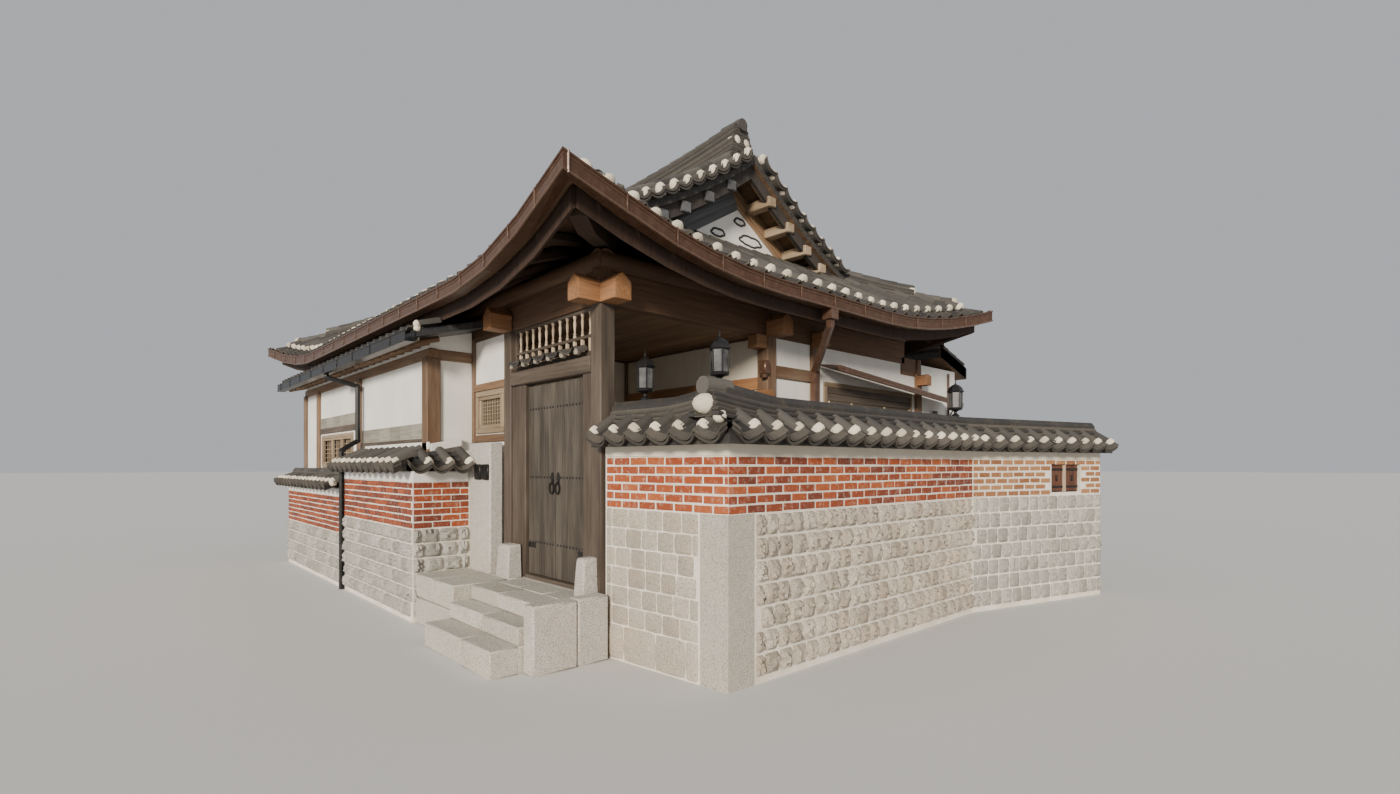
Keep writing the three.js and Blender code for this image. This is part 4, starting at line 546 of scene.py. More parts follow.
def tube(shape, centres, across, up, outline, tone=None):
    """Sweeps an outline of (across, up) pairs along centres, each with its own across and up."""
    centres = np.asarray(centres, float)
    count = len(centres)
    across = np.broadcast_to(np.asarray(across, float), (count, 3))
    up = np.broadcast_to(np.asarray(up, float), (count, 3))
    outline = np.asarray(outline, float)
    if outline.ndim == 2:
        outline = np.broadcast_to(outline, (count, *outline.shape))
    points = centres[:, None] + across[:, None] * outline[:, :, :1] + up[:, None] * outline[:, :, 1:]
    sides = outline.shape[1]
    faces = grid_faces(count, sides, True)
    faces.append(tuple(reversed(range(sides))))
    faces.append(tuple(range((count - 1) * sides, count * sides)))
    grain = np.zeros((count, sides, 3))
    grain[:, :, 0] = lengths_along(centres)[:, None]
    grain[:, :, 1:] = outline
    grain = grain.reshape(-1, 3) + RNG.random(3) * GRAIN_SPREAD
    backwards = np.cross(across[0], up[0]) @ (centres[-1] - centres[0]) > 0
    x, y = outline[0][:, 0], outline[0][:, 1]
    clockwise = 0.5 * np.sum(x * np.roll(y, -1) - np.roll(x, -1) * y) < 0
    shape.add(points.reshape(-1, 3), facing(faces, backwards != clockwise), tone, grain)


def ring(radius, sides, start=0.0):
    turns = np.arange(sides) * 2 * math.pi / sides + start
    return np.stack([np.cos(turns), np.sin(turns)], 1) * radius


def on_plane(centre, flat, across, up):
    """Points of a flat outline, set up about a centre."""
    return centre + flat[:, :1] * across + flat[:, 1:] * up


def rod(shape, start, end, radius, sides=10, taper=1.0):
    start, end = np.asarray(start, float), np.asarray(end, float)
    along = unit(end - start)
    across = unit(np.cross(along, UP if abs(along[2]) < 0.9 else EAST))
    up = np.cross(across, along)
    outline = np.stack([ring(radius, sides), ring(radius * taper, sides)])
    tube(shape, [start, end], across, up, outline)

# The roof's surface, as in the part's source

MID_X, MID_Y = -4.5, 2.63
HALF_X, HALF_Y = 5.44, 3.57
EAVE_Z, SLOPE, CURVE = 3.61, 0.545, 0.0135
LIFT, REACH, INSET = 0.49, 2.6, 0.2
GABLE_U, RAKE_U, HIP_RIDGE_U = 3.60, 4.06, 3.80
RAKE_TOP, RAKE_SLOPE, RAKE_CURVE, RAKE_FOOT = 5.76, 0.74, 0.078, 1.98
SKIRT_RUN = HALF_X - GABLE_U
RIDGE_HALF, RIDGE_TOP, RIDGE_DISH = 3.81, 6.32, 0.15


def rest(along):
    return max(0.0, 1 - along / REACH)


def bed_z(along, run):
    return EAVE_Z + SLOPE * run + CURVE * run * run + LIFT * rest(along) ** 2


def inset(along):
    return INSET * (1 - rest(along) ** 2)


def slope_spot(face, u, run):
    """A point over the front (-1) or back (1) slope, u from the roof's middle, run in from the eave."""
    return np.array([MID_X + u, MID_Y + face * (HALF_Y - run), bed_z(HALF_X - abs(u), run)])


def skirt_spot(face, v, run):
    return np.array([MID_X + face * (HALF_X - run), MID_Y + v, bed_z(HALF_Y - abs(v), run)])


def rake_z(dy):
    return RAKE_TOP - RAKE_SLOPE * dy + RAKE_CURVE * dy * dy


def verge_spot(end, face, dy, out):
    """A point over the verge; out is measured from the roof's middle."""
    return np.array([MID_X + end * out, MID_Y + face * dy, rake_z(dy)])


# Tiles: convex rows over concave channels, each tile a little proud of the one below it

ROW = 0.272
CAP_RADIUS, CAP_LENGTH, CAP_LIFT, CAP_STEP = 0.070, 0.27, 0.040, 0.006
CHANNEL_HALF, CHANNEL_LENGTH, CHANNEL_DEPTH, CHANNEL_STEP = 0.115, 0.135, 0.050, 0.016
CHANNEL_AT = np.linspace(-1, 1, 7)
CAP_OUT, LIP_OUT = -0.120, 0.050  # how far the two kinds of row stand out past the bed's edge
PLUG_LIFT = CAP_LIFT + 0.004
HIDDEN_U, HIDDEN_BACK = -3.0, 0.09  # right of this the front's convex rows end further back
RAKE_ROW = 0.205  # measured level, so about 0.245 down the rake


def surface_frames(spot, side, steps):
    """Places along a row with the direction across it and the one that stands on the surface."""
    places = np.array([spot(t) for t in steps])
    ahead = np.gradient(places, axis=0)
    ahead /= np.linalg.norm(ahead, axis=1)[:, None]
    across = np.array([unit(side(t) - (side(t) @ a) * a) for t, a in zip(steps, ahead)])
    up = np.cross(across, ahead)
    up *= np.sign(up[:, 2:3])
    return places, across, up


def stepped(start, stop, length, lip):
    """Stations where each tile starts and ends, so that it laps over the one below."""
    count = max(1, round((stop - start) / length))
    edges = np.linspace(start, stop, count + 1)
    steps, grown = [], []
    for low, high in zip(edges[:-1], edges[1:]):
        steps += [low - lip, low, high - lip * 1.01]
        grown += [0.0, 1.0, 0.0]
    return np.array(steps), np.array(grown)


def add_strip(shape, places, across, up, outline, tone):
    """An open strip along places; its faces look away from the bed."""
    points = places[:, None] + across[:, None] * outline[:, :, :1] + up[:, None] * outline[:, :, 1:]
    middle = outline.shape[1] // 2
    a, b, c = points[0, middle - 1], points[0, middle], points[-1, middle]
    faces = facing(grid_faces(len(places), outline.shape[1]), np.cross(b - a, c - a) @ up[0] < 0)
    shape.add(points.reshape(-1, 3), faces, tone)


def cap_row(shape, spot, side, start, stop, radius=CAP_RADIUS, length=CAP_LENGTH, lift=CAP_LIFT):
    if stop - start < 0.05:
        return
    steps, grown = stepped(start, stop, length, CAP_STEP)
    places, across, up = surface_frames(spot, side, steps)
    turns = np.radians(np.linspace(-16, 196, 8))
    wide = radius - 0.009 * (1 - grown)
    outline = np.stack([np.cos(turns), np.sin(turns)], 1)[None] * wide[:, None, None]
    outline = outline + np.array([0, lift])
    outline[:, :, 1] += RNG.uniform(-0.002, 0.004)
    tone = np.repeat(RNG.random(len(steps) // 3), 3 * len(turns)) * 0.7 + RNG.random() * 0.3
    add_strip(shape, places, across, up, outline, tone)


def channel_row(shape, spot, side, start, stop, half=CHANNEL_HALF):
    if stop - start < 0.04:
        return
    steps, grown = stepped(start, stop, CHANNEL_LENGTH, 0.004)
    places, across, up = surface_frames(spot, side, steps)
    outline = np.zeros((len(steps), len(CHANNEL_AT), 2))
    outline[:, :, 0] = CHANNEL_AT * half
    outline[:, :, 1] = 0.012 + CHANNEL_DEPTH * CHANNEL_AT**2 + CHANNEL_STEP * grown[:, None]
    tone = np.repeat(RNG.random(len(steps) // 3), 3 * len(CHANNEL_AT)) * 0.75
    add_strip(shape, places, across, up, outline, tone)


def end_plug(shape, centre, across, up, out, radius=0.066, foot=0.055, bulge=0.034):
    """The rounded plaster that closes a convex row, pressed on by hand."""
    sides = 14
    outline = ring(radius, sides)
    low = outline[:, 1] < 0
    outline[low, 1] *= foot / radius
    rise = np.clip(outline[:, 1] / radius, 0, 1)
    outline[:, 0] *= 1.06 - 0.30 * rise**2
    outline[~low, 1] *= 1.30
    outline *= RNG.uniform(0.92, 1.06)
    layers = [(-0.03, 1.0), (bulge * 0.35, 1.0), (bulge * 0.8, 0.80), (bulge, 0.45)]
    rings = []
    for depth, size in layers:
        wobble = 1 + RNG.uniform(-0.035, 0.035, (sides, 1)) * (size < 1)
        rings.append(on_plane(centre + out * depth, outline * size * wobble, across, up))
    points = np.concatenate(rings + [[centre + out * bulge * 1.04]])
    faces = grid_faces(len(layers), sides, True)
    last = (len(layers) - 1) * sides
    faces += [(last + i, last + (i + 1) % sides, len(points) - 1) for i in range(sides)]
    shape.add(points, facing(faces, np.cross(across, up) @ out < 0), RNG.random())


def end_lips(shape, centre, across, up, out, half=0.130, layers=2, drop=0.032, sag=0.062):
    """The hanging front edges of the concave tiles between two plugs."""
    at = np.linspace(-1, 1, 9)
    outline = [(0.0, 0.0), (0.004, -0.010), (0.0, -0.024), (-0.10, -0.020), (-0.10, 0.0)]
    for layer in range(layers):
        top = 0.020 + sag * at**2 - drop * layer
        depth = 0.014 - 0.010 * layer
        wide = half * (1 - 0.03 * layer)
        places = centre + out * depth + (at * wide)[:, None] * across + top[:, None] * up
        tube(shape, places, out, up, outline, RNG.random() * 0.6 + 0.4 * (layer == 0))


def row_end(spot, side, steps):
    """Where a row starts, across it, up from it and out of its end."""
    places, across, up = surface_frames(spot, side, np.array(steps))
    return places[0], across[0], up[0], -unit(places[1] - places[0])


def tile_row(parts, convex, spot, side, start, stop):
    """A convex row with its plaster end, or a channel with the lips of its lowest tiles."""
    caps, channels, ends, lips = parts
    place, across, up, out = row_end(spot, side, [start, start + 0.05])
    if convex:
        cap_row(caps, spot, side, start, stop)
        end_plug(ends, place + up * PLUG_LIFT, across, up, out)
    else:
        channel_row(channels, spot, side, start, stop)
        end_lips(lips, place, across, up, out)


def slope_stop(u, quarter):
    """Where a row of a slope ends: at the ridge, at the verge's foot or at the hip."""
    if abs(u) < GABLE_U:
        return HALF_Y - 0.06
    return SKIRT_RUN - 0.02 if abs(u) < HIP_RIDGE_U else quarter - 0.05


def skirt_stop(_, quarter):
    return min(quarter - 0.05, SKIRT_RUN - 0.02)


def roof_field(parts, place, half, stop_at, face):
    """Every row of a slope or skirt, whose surface is given by place and whose half width by half."""
    count = round((2 * half - 0.5) / ROW)
    first = -(count - 1) / 2 * ROW
    for i in range(count * 2 - 1):
        u = first + i * ROW / 2
        convex = i % 2 == 0
        quarter = half - abs(u)
        start = inset(quarter) - (CAP_OUT if convex else LIP_OUT)
        if convex and place is slope_spot and face < 0 and u > HIDDEN_U:
            start += HIDDEN_BACK
        spot = lambda t, u=u: place(face, u, t)
        side = lambda t, u=u: unit(place(face, u + 0.01, t) - place(face, u - 0.01, t))
        tile_row(parts, convex, spot, side, start, stop_at(u, quarter))


def verge_field(parts, end, face):
    """Short rows that lie across the verge, with their plaster ends towards the gable."""
    for i in range(int((RAKE_FOOT - 0.05) / (RAKE_ROW / 2))):
        dy = 0.10 + i * RAKE_ROW / 2
        if dy > RAKE_FOOT - 0.06:
            break
        spot = lambda t, dy=dy: verge_spot(end, face, dy, RAKE_U + 0.025 - t)
        side = lambda t, dy=dy: unit(
            verge_spot(end, face, dy + 0.01, 0) - verge_spot(end, face, dy - 0.01, 0)
        )
        tile_row(parts, i % 2 == 0, spot, side, 0.0 if i % 2 == 0 else -0.05, 0.22)


def build_roof_tiles():
    slope, skirt = (slope_spot, HALF_X, slope_stop), (skirt_spot, HALF_Y, skirt_stop)
    fields = (
        ("front_slope", slope, -1),
        ("back_slope", slope, 1),
        ("right_skirt", skirt, 1),
        ("left_skirt", skirt, -1),
    )
    for name, values, face in fields:
        parts = [Shape() for _ in range(4)]
        roof_field(parts, *values, face)
        give(*tile_pieces(name, parts))
    parts = [Shape() for _ in range(4)]
    for end in (1, -1):
        for face in (1, -1):
            verge_field(parts, end, face)
    give(*tile_pieces("verge", parts))


def tile_pieces(name, parts, *nodes):
    """The pieces of a tiled field, with its ridge's courses and filling if parts has them."""
    kinds = (
        ("caps", TILE, "tile", *nodes),
        ("channels", TILE_DEEP, "tile"),
        ("plaster_ends", LIME, "plaster"),
        ("lips", TILE_EDGE, "tile"),
        ("courses", TILE_EDGE, "tile"),
        ("filling", POINTING, "plaster"),
    )
    return [(shape, f"{name}_{label}", *rest_of) for shape, (label, *rest_of) in zip(parts, kinds)]


# Ridges: thin courses of tile under a row of half-round caps

COURSE, COURSE_GAP = 0.034, 0.006


def ridge_frames(path):
    path = np.asarray(path, float)
    ahead = np.gradient(path, axis=0)
    ahead /= np.linalg.norm(ahead, axis=1)[:, None]
    across = np.cross(ahead, UP)
    across /= np.linalg.norm(across, axis=1)[:, None]
    return path, across, np.cross(across, ahead)


def ridge_courses(courses, filling, path, half, layers, top, wider=0.010):
    """Stacked thin courses with plaster between them, whose upper face lies on the path less top."""
    places, across, up = ridge_frames(path)
    for layer in range(layers):
        z = -top - layer * (COURSE + COURSE_GAP)
        wide = half * (1 + 0.08 * (layer % 2)) + wider * layer
        outline = [(-wide, z), (-wide - 0.006, z - COURSE * 0.5), (-wide, z - COURSE)]
        outline += [(wide, z - COURSE), (wide + 0.006, z - COURSE * 0.5), (wide, z)]
        tube(courses, places, across, up, outline, RNG.random())
    foot = -top - layers * (COURSE + COURSE_GAP)
    inner = half * 0.92
    outline = [(-inner, -top + 0.01), (-inner, foot), (inner, foot), (inner, -top + 0.01)]
    tube(filling, places, across, up, outline)


def ridge_caps(shape, path, radius, length=CAP_LENGTH):
    """Half-round caps one after another along a ridge."""
    path = np.asarray(path, float)
    lengths = lengths_along(path)
    total = lengths[-1]

    def spot(t):
        return np.array([np.interp(t, lengths, path[:, i]) for i in range(3)])

    ahead = lambda t: unit(spot(min(total, t + 0.02)) - spot(max(0, t - 0.02)))
    side = lambda t: unit(np.cross(ahead(t), UP))
    cap_row(shape, spot, side, CAP_STEP, total, radius, length, -radius * 0.35)


def end_lump(shape, centre, out, radius, squeeze=0.75, wide=1.0):
    """A rounded lump of plaster under a ridge's end."""
    sides, layers = 12, 5
    out = unit(out)
    across = unit(np.cross(out, UP)) * wide
    rings = [on_plane(centre - out * radius * 0.6, ring(radius, sides), across, UP)]
    for layer in range(layers):
        turn = math.pi / 2 * layer / (layers - 0.6)
        circle = ring(math.cos(turn) * radius, sides) * (1 + RNG.uniform(-0.03, 0.03, (sides, 1)))
        rings.append(on_plane(centre + out * (math.sin(turn) * radius * squeeze), circle, across, UP))
    faces = grid_faces(layers + 1, sides, True)
    faces.append(tuple(range(layers * sides, (layers + 1) * sides)))
    shape.add(np.concatenate(rings), facing(faces, np.cross(across, UP) @ out < 0), RNG.random())


HIP_TOP, FOOT_TOP = 0.215, 0.125  # how far the ridges' top lines stand over the bed


def corner_paths(end, face):
    """Top lines of a descending ridge with its hip, and of the lower step at its foot."""
    def point(u, dy, z):
        return np.array([MID_X + end * u, MID_Y + face * dy, z])

    def on_hip(q, top):
        return point(HALF_X - q, HALF_Y - q, bed_z(q, q) + top)

    turn = HIP_RIDGE_U - HALF_X + HALF_Y
    high = [point(HIP_RIDGE_U, dy, rake_z(dy) + HIP_TOP) for dy in np.linspace(0.10, turn - 0.2, 10)]
    high += [on_hip(q, HIP_TOP) for q in np.linspace(HALF_X - HIP_RIDGE_U - 0.06, 0.74, 8)]
    return high, [on_hip(q, FOOT_TOP) for q in np.linspace(0.80, 0.30, 5)]


def build_ridges():
    caps, courses, filling, ends = Shape(), Shape(), Shape(), Shape()
    along = np.linspace(-1, 1, 33)
    main = [(MID_X + t * RIDGE_HALF, MID_Y, RIDGE_TOP - RIDGE_DISH * (1 - abs(t) ** 3)) for t in along]
    lowered = np.array(main) - UP * 0.048
    ridge_caps(caps, lowered, 0.072)
    ridge_courses(courses, filling, lowered, 0.115, 12, 0.05)
    for end in (1, -1):
        tip = np.array([MID_X + end * RIDGE_HALF, MID_Y, RIDGE_TOP - 0.10])
        out = EAST * end
        rod(caps, tip - out * 0.3, tip + out * 0.05, 0.080, 14)
        for side in (-0.085, 0.085):
            end_lump(ends, tip + NORTH * side - UP * 0.22 - out * 0.02, out, 0.085)
        for face in (1, -1):
            high, low = corner_paths(end, face)
            high = np.array(high) - UP * 0.046
            low = np.array(low) - UP * 0.04
            ridge_caps(caps, high[::-1], 0.066)
            ridge_courses(courses, filling, high, 0.085, 3, 0.045)
            ridge_caps(caps, low[::-1], 0.062)
            ridge_courses(courses, filling, low, 0.075, 1, 0.045)
            for path, drop in ((high, 0.05), (low, 0.02)):
                way = unit(path[-1] - path[-2])
                flat = unit([way[0], way[1], 0])
                end_lump(ends, path[-1] - UP * drop - flat * 0.03, flat, 0.078)
    give(
        (caps, "ridge_caps", TILE, None),
        (courses, "ridge_courses", TILE_EDGE, None, "roof_ridges"),
        (filling, "ridge_filling", POINTING, None),
        (ends, "ridge_plaster_ends", LIME, None),
    )


# Yard walls: courses of brick over blocks of stone, set in the mortar of the solid

FRONT_PATH = np.array([(0.118, -0.048), (1.600, 0.080), (1.640, 4.250), (2.340, 6.670)])
WALL_THICK = 0.32
STONE_TOP, BRICK_TOP, WALL_TOP = 1.395, 1.863, 1.990
PILLAR = 0.30
COPING_OUT, COPING_EAVE_Z = 0.170, 2.020
COPING_RUN = 0.26
COPING_PITCH = 0.155 / 0.24
COPING_RIDGE_Z = 2.380
RISE_RUN, RISE, TIP_OVER = 0.70, 0.085, 0.24  # how the ridge turns up at the corner


class Face:
    """An upright wall face from a to b: along it, out of it, and up."""

    def __init__(self, a, b, out_side=1):
        a, b = np.array([*a, 0.0]), np.array([*b, 0.0])
        self.start, self.length = a, np.linalg.norm(b - a)
        self.along = unit(b - a)
        self.out = np.cross(self.along, UP) * out_side
        self.axes = (self.along, self.out, UP)

    def at(self, s, z, out=0.0):
        return self.start + self.along * s + self.out * out + UP * z


def bricks(shape, face, span, heights, size, joint, proud=0.007, tones=(0.0, 1.0), skip=None):
    """Courses in running bond, each brick a little out of line and of its own tone."""
    long, high = size
    low_z, high_z = heights
    courses = round((high_z - low_z) / (high + joint))
    pitch = (high_z - low_z) / courses
    for course in range(courses):
        z = low_z + (course + 0.5) * pitch
        s = span[0] - (course % 2) * (long + joint) / 2
        while s < span[1] - 0.02:
            first, last = max(s, span[0]), min(s + long, span[1])
            s += long + joint
            if last - first < 0.03 or (skip and skip(first, last, z)):
                continue
            wide = last - first - RNG.uniform(0, 0.006)
            tall = pitch - joint - RNG.uniform(0, 0.005)
            out = proud - 0.02 + RNG.uniform(-0.002, 0.002)
            centre = face.at((first + last) / 2, z + RNG.uniform(-0.002, 0.002), out)
            tilt = RNG.uniform(-0.012, 0.012)
            axes = (face.along + UP * tilt, face.out, UP - face.along * tilt)
            tone = np.interp(RNG.random(), (0, 1), tones)
            block(shape, centre, axes, (wide, 0.04, tall), 0.0045, tone)


def rock(shape, face, s, z, wide, high, proud, rough, tone=None):
    """One stone whose face bulges out of the mortar; rough is how uneven it is."""
    columns, rows = 7, 7
    u, v = np.meshgrid(np.linspace(-1, 1, columns), np.linspace(-1, 1, rows))
    edge = (1 - np.abs(u) ** 5) * (1 - np.abs(v) ** 5)
    depth = proud * (0.3 + 0.7 * edge) + RNG.normal(0, rough, u.shape) * (0.25 + 0.75 * edge)
    narrow = 1 - 0.05 * np.abs(v) ** 3 + RNG.normal(0, 0.012, u.shape)
    low = 1 - 0.05 * np.abs(u) ** 3 + RNG.normal(0, 0.012, u.shape)
    x, y = u * narrow * wide / 2, v * low * high / 2
    front = [face.at(s + a, z + b, c) for a, b, c in zip(x.ravel(), y.ravel(), depth.ravel())]
    loop = list(range(columns))
    loop += [r * columns + columns - 1 for r in range(1, rows)]
    loop += [(rows - 1) * columns + c for c in range(columns - 2, -1, -1)]
    loop += [r * columns for r in range(rows - 2, 0, -1)]
    back = [face.at(s + x.ravel()[i] * 1.03, z + y.ravel()[i] * 1.03, -0.012) for i in loop]
    faces = grid_faces(rows, columns)
    count = rows * columns
    for i, spot in enumerate(loop):
        after = (i + 1) % len(loop)
        faces.append((loop[after], spot, count + i, count + after))
    faces = facing(faces, np.cross(face.along, UP) @ face.out < 0)
    shape.add(front + back, faces, tone)


def stones(shape, face, span, heights, size, joint, proud=0.022, rough=0.006, spread=0.15, skip=None):
    wide, high = size
    courses = max(1, round((heights[1] - heights[0]) / (high + joint)))
    pitch = (heights[1] - heights[0]) / courses
    for course in range(courses):
        z = heights[0] + (course + 0.5) * pitch
        s = span[0] - RNG.uniform(0.2, 0.8) * wide
        while s < span[1] - 0.02:
            here = wide * (1 + RNG.uniform(-spread, spread))
            first, last = max(s, span[0]), min(s + here, span[1])
            s += here + joint
            if last - first < 0.05 or (skip and skip(first, last, z)):
                continue
            rock(shape, face, (first + last) / 2, z, last - first, pitch - joint, proud, rough)


def plaster_band(shape, face, span, heights, proud=0.008):
    size = (span[1] - span[0], 0.03, heights[1] - heights[0])
    centre = face.at(sum(span) / 2, sum(heights) / 2, proud - 0.015)
    block(shape, centre, face.axes, size, 0.006)


SHUTTER_SPAN = (1.480, 2.080)
SHUTTER_Z = (1.430, 1.800)


def build_front_masonry():
    old, tan, rocks, dressed, grey, band = (Shape() for _ in range(6))
    left, right, far = (Face(a, b) for a, b in zip(FRONT_PATH[:-1], FRONT_PATH[1:]))
    brick, courses, lower = (0.205, 0.060), (STONE_TOP, BRICK_TOP), (0.05, STONE_TOP)
    dressed_span = (0.02, left.length - PILLAR - 0.02)
    rock_span = (PILLAR + 0.02, right.length - 0.01)
    bricks(old, left, (0.02, left.length), courses, brick, 0.015, tones=(0.42, 0.95))
    bricks(old, right, (0.0, right.length), courses, brick, 0.015, tones=(0.08, 0.95))
    stones(dressed, left, dressed_span, (0.33, STONE_TOP), (0.20, 0.165), 0.012, 0.012, 0.0025)
    stones(dressed, left, dressed_span, (0.008, 0.33), (0.36, 0.30), 0.012, 0.020, 0.003)
    stones(rocks, right, rock_span, lower, (0.142, 0.166), 0.027, 0.038, 0.0135)
    opening = lambda first, last, z: (
        last > SHUTTER_SPAN[0] and first < SHUTTER_SPAN[1] and SHUTTER_Z[0] < z < SHUTTER_Z[1]
    )
    bricks(tan, far, (0.02, far.length), courses, (0.185, 0.055), 0.023, skip=opening)
    stones(grey, far, (0.02, far.length - 0.01), lower, (0.165, 0.165), 0.024, 0.030, 0.010, 0.05)
    for face in (left, right, far):
        plaster_band(band, face, (0.0, face.length), (BRICK_TOP, WALL_TOP))
    inner = offset_path(FRONT_PATH, -WALL_THICK)
    for a, b in zip(inner[:-1], inner[1:]):
        back = Face(a, b, -1)
        span = (0.01, back.length - 0.01)
        bricks(tan, back, span, courses, brick, 0.02)
        stones(grey, back, span, lower, (0.20, 0.172), 0.022, 0.016, 0.003)
        plaster_band(band, back, (0.0, back.length), (BRICK_TOP, WALL_TOP))
    give(
        (old, "front_wall_bricks", BRICK, "brick"),
        (tan, "far_wall_bricks", TAN_BRICK, "brick"),
        (rocks, "front_wall_rocks", BLOCKS, "granite"),
        (dressed, "front_wall_blocks", BLOCKS, "granite"),
        (grey, "far_wall_blocks", GREY_BLOCKS, "granite"),
        (band, "front_wall_band", CREAM, "plaster"),
    )


def offset_path(path, out):
    """The path moved sideways, out to its right, with mitred corners."""
    path = np.asarray(path, float)
    along = np.diff(path, axis=0)
    along /= np.linalg.norm(along, axis=1)[:, None]
    normals = np.stack([along[:, 1], -along[:, 0]], 1)
    moved = []
    for i, spot in enumerate(path):
        one, two = normals[max(0, i - 1)], normals[min(len(normals) - 1, i)]
        middle = one + two
        moved.append(spot + middle * out / (middle @ one))
    return np.array(moved)


# Copings: short rows of tile on either side of a low ridge

PLUG_BACK = 0.035  # a convex row starts this far up from the eave, and a channel LIP_BACK
LIP_BACK = 0.012
COPING_CAP, COPING_PLUG = 0.060, (0.056, 0.050, 0.042)
COPING_LIP = (2, 0.032, 0.078)


class Coping:
    """A straight stretch of coping over a wall's middle line, seen from the side that faces out."""

    def __init__(self, a, b, side, eave, run, eave_z, pitch, cut_start=None, cut_end=None):
        self.face = Face(a, b, side)
        self.eave, self.run, self.eave_z, self.pitch = eave, run, eave_z, pitch
        self.cut_start, self.cut_end = cut_start, cut_end

    def spot(self, s, t):
        return self.face.at(s, self.eave_z + self.pitch * t, self.eave - t)

    def room(self, s):
        """How far up a row may run before it meets a hip or a valley."""
        room = self.run
        if self.cut_start is not None:
            room = min(room, s + self.cut_start)
        if self.cut_end is not None:
            room = min(room, self.face.length + self.cut_end - s)
        return room


def coping_rows(parts, coping, row=ROW):
    caps, channels, ends, lips = parts[:4]
    low = -(coping.cut_start or 0.0) + 0.04
    high = coping.face.length + (coping.cut_end or 0.0) - 0.04
    count = max(2, round((high - low) / row))
    gap = (high - low) / count
    side = lambda t: coping.face.along
    for i in range(2 * count + 1):
        s = low + i * gap / 2
        room = coping.room(s)
        spot = lambda t, s=s: coping.spot(s, t)
        if i % 2 == 1:
            channel_row(channels, spot, side, LIP_BACK, max(room, 0.03), gap * 0.46)
            place, across, up, out = row_end(spot, side, [LIP_BACK, 0.0])
            end_lips(lips, place, across, up, out, gap * 0.50, *COPING_LIP)
        elif room > PLUG_BACK + 0.05:
            cap_row(caps, spot, side, PLUG_BACK, room, COPING_CAP)
            place, across, up, out = row_end(spot, side, [PLUG_BACK, PLUG_BACK + 0.05])
            end_plug(ends, place + up * PLUG_LIFT, across, up, out, *COPING_PLUG)


COPING_TOP = 0.055  # the ridge's path lies this far under its top
COPING_COURSES = (0.105, 5, 0.040, 0.018)


def build_front_coping():
    parts = [Shape() for _ in range(6)]
    caps, _, ends, _, courses, filling = parts
    middle = offset_path(FRONT_PATH, -WALL_THICK / 2)
    eave = WALL_THICK / 2 + COPING_OUT
    values = (eave, COPING_RUN + 0.02, COPING_EAVE_Z, COPING_PITCH)
    for side in (1, -1):
        corner = eave * side
        for i, cuts in enumerate(((None, corner), (corner, None), (None, None))):
            coping_rows(parts, Coping(middle[i], middle[i + 1], side, *values, *cuts))
    for (a, b), over in (((middle[0], middle[1]), -0.02), ((middle[2], middle[1]), TIP_OVER)):
        a, b = np.array([*a, COPING_RIDGE_Z]), np.array([*b, COPING_RIDGE_Z])
        toward = unit(b - a)
        knee = b - toward * RISE_RUN
        tip = b + toward * over
        rise = np.linspace(0, 1, 7)[1:, None]
        path = np.concatenate([[a], [knee], knee + (tip - knee) * rise + [0, 0, RISE] * rise**1.6])
        lowered = path - UP * COPING_TOP
        ridge_caps(caps, lowered, 0.072)
        ridge_courses(courses, filling, lowered, *COPING_COURSES)
    tip = lowered[-1]
    out = toward + EAST * 0.9
    rod(caps, tip - toward * 0.25, tip + toward * 0.035 + UP * 0.01, 0.074, 14)
    end_lump(ends, tip + toward * 0.01 + EAST * 0.02 - UP * 0.135, out, 0.085, 0.8, 1.35)
    end_lump(ends, tip + EAST * 0.13 - UP * 0.235 - toward * 0.03, out, 0.058, 0.9)
    path = np.array([[*middle[2], COPING_RIDGE_Z], [*middle[3], COPING_RIDGE_Z]]) - UP * COPING_TOP
    ridge_caps(caps, path[::-1], 0.072)
    ridge_courses(courses, filling, path, *COPING_COURSES)
    give(*tile_pieces("front_coping", parts))


# Timber frames

FLOOR_Z = 0.5503
HALL_BACK, HALL_LEFT, GATE_POST_X = 2.36, -2.8, -1.8
RIGHT_POST_Y, HOUSE_BACK, HOUSE_LEFT = 3.22, 5.85, -8.9
POST, BEAM_WIDE = 0.17, 0.12
BEAM_LOW, BEAM_HIGH, LOG_Z, LOG_WIDE = 3.32, 3.6435, 3.7335, 0.21
BACK_LOW, BACK_HIGH, HIGH_END = 3.16, 3.425, 5.45
BEAM_END, END_START = 0.33, 0.075  # how far a beam's end reaches past its post's middle, and from where
END_WIDE, END_LOW, END_HIGH, END_TIP = 0.19, 3.315, 3.485, 3.565
WING_FRONT = -0.57
WALL_OUT, RAIL_OUT = 0.045, 0.070  # faces of the walls and rails, from the posts' middle
RAIL_BEVEL, FOOT_RAIL = 0.006, 0.70
LOW_BEAM, WING_BEAM = (BACK_LOW, BACK_HIGH), (3.06, 3.19)


def post(shape, x, y, top=3.36, wide=POST):
    half = wide / 2
    beam(shape, (x - half, x + half, y - half, y + half, FLOOR_Z, top), 0.012, along=2)


def beam_x(shape, x0, x1, y, low=BEAM_LOW, high=BEAM_HIGH, wide=BEAM_WIDE):
    beam(shape, (x0, x1, y - wide / 2, y + wide / 2, low, high), 0.010, along=0)


def beam_y(shape, x, y0, y1, low=BEAM_LOW, high=BEAM_HIGH, wide=BEAM_WIDE):
    beam(shape, (x - wide / 2, x + wide / 2, y0, y1, low, high), 0.010, along=1)


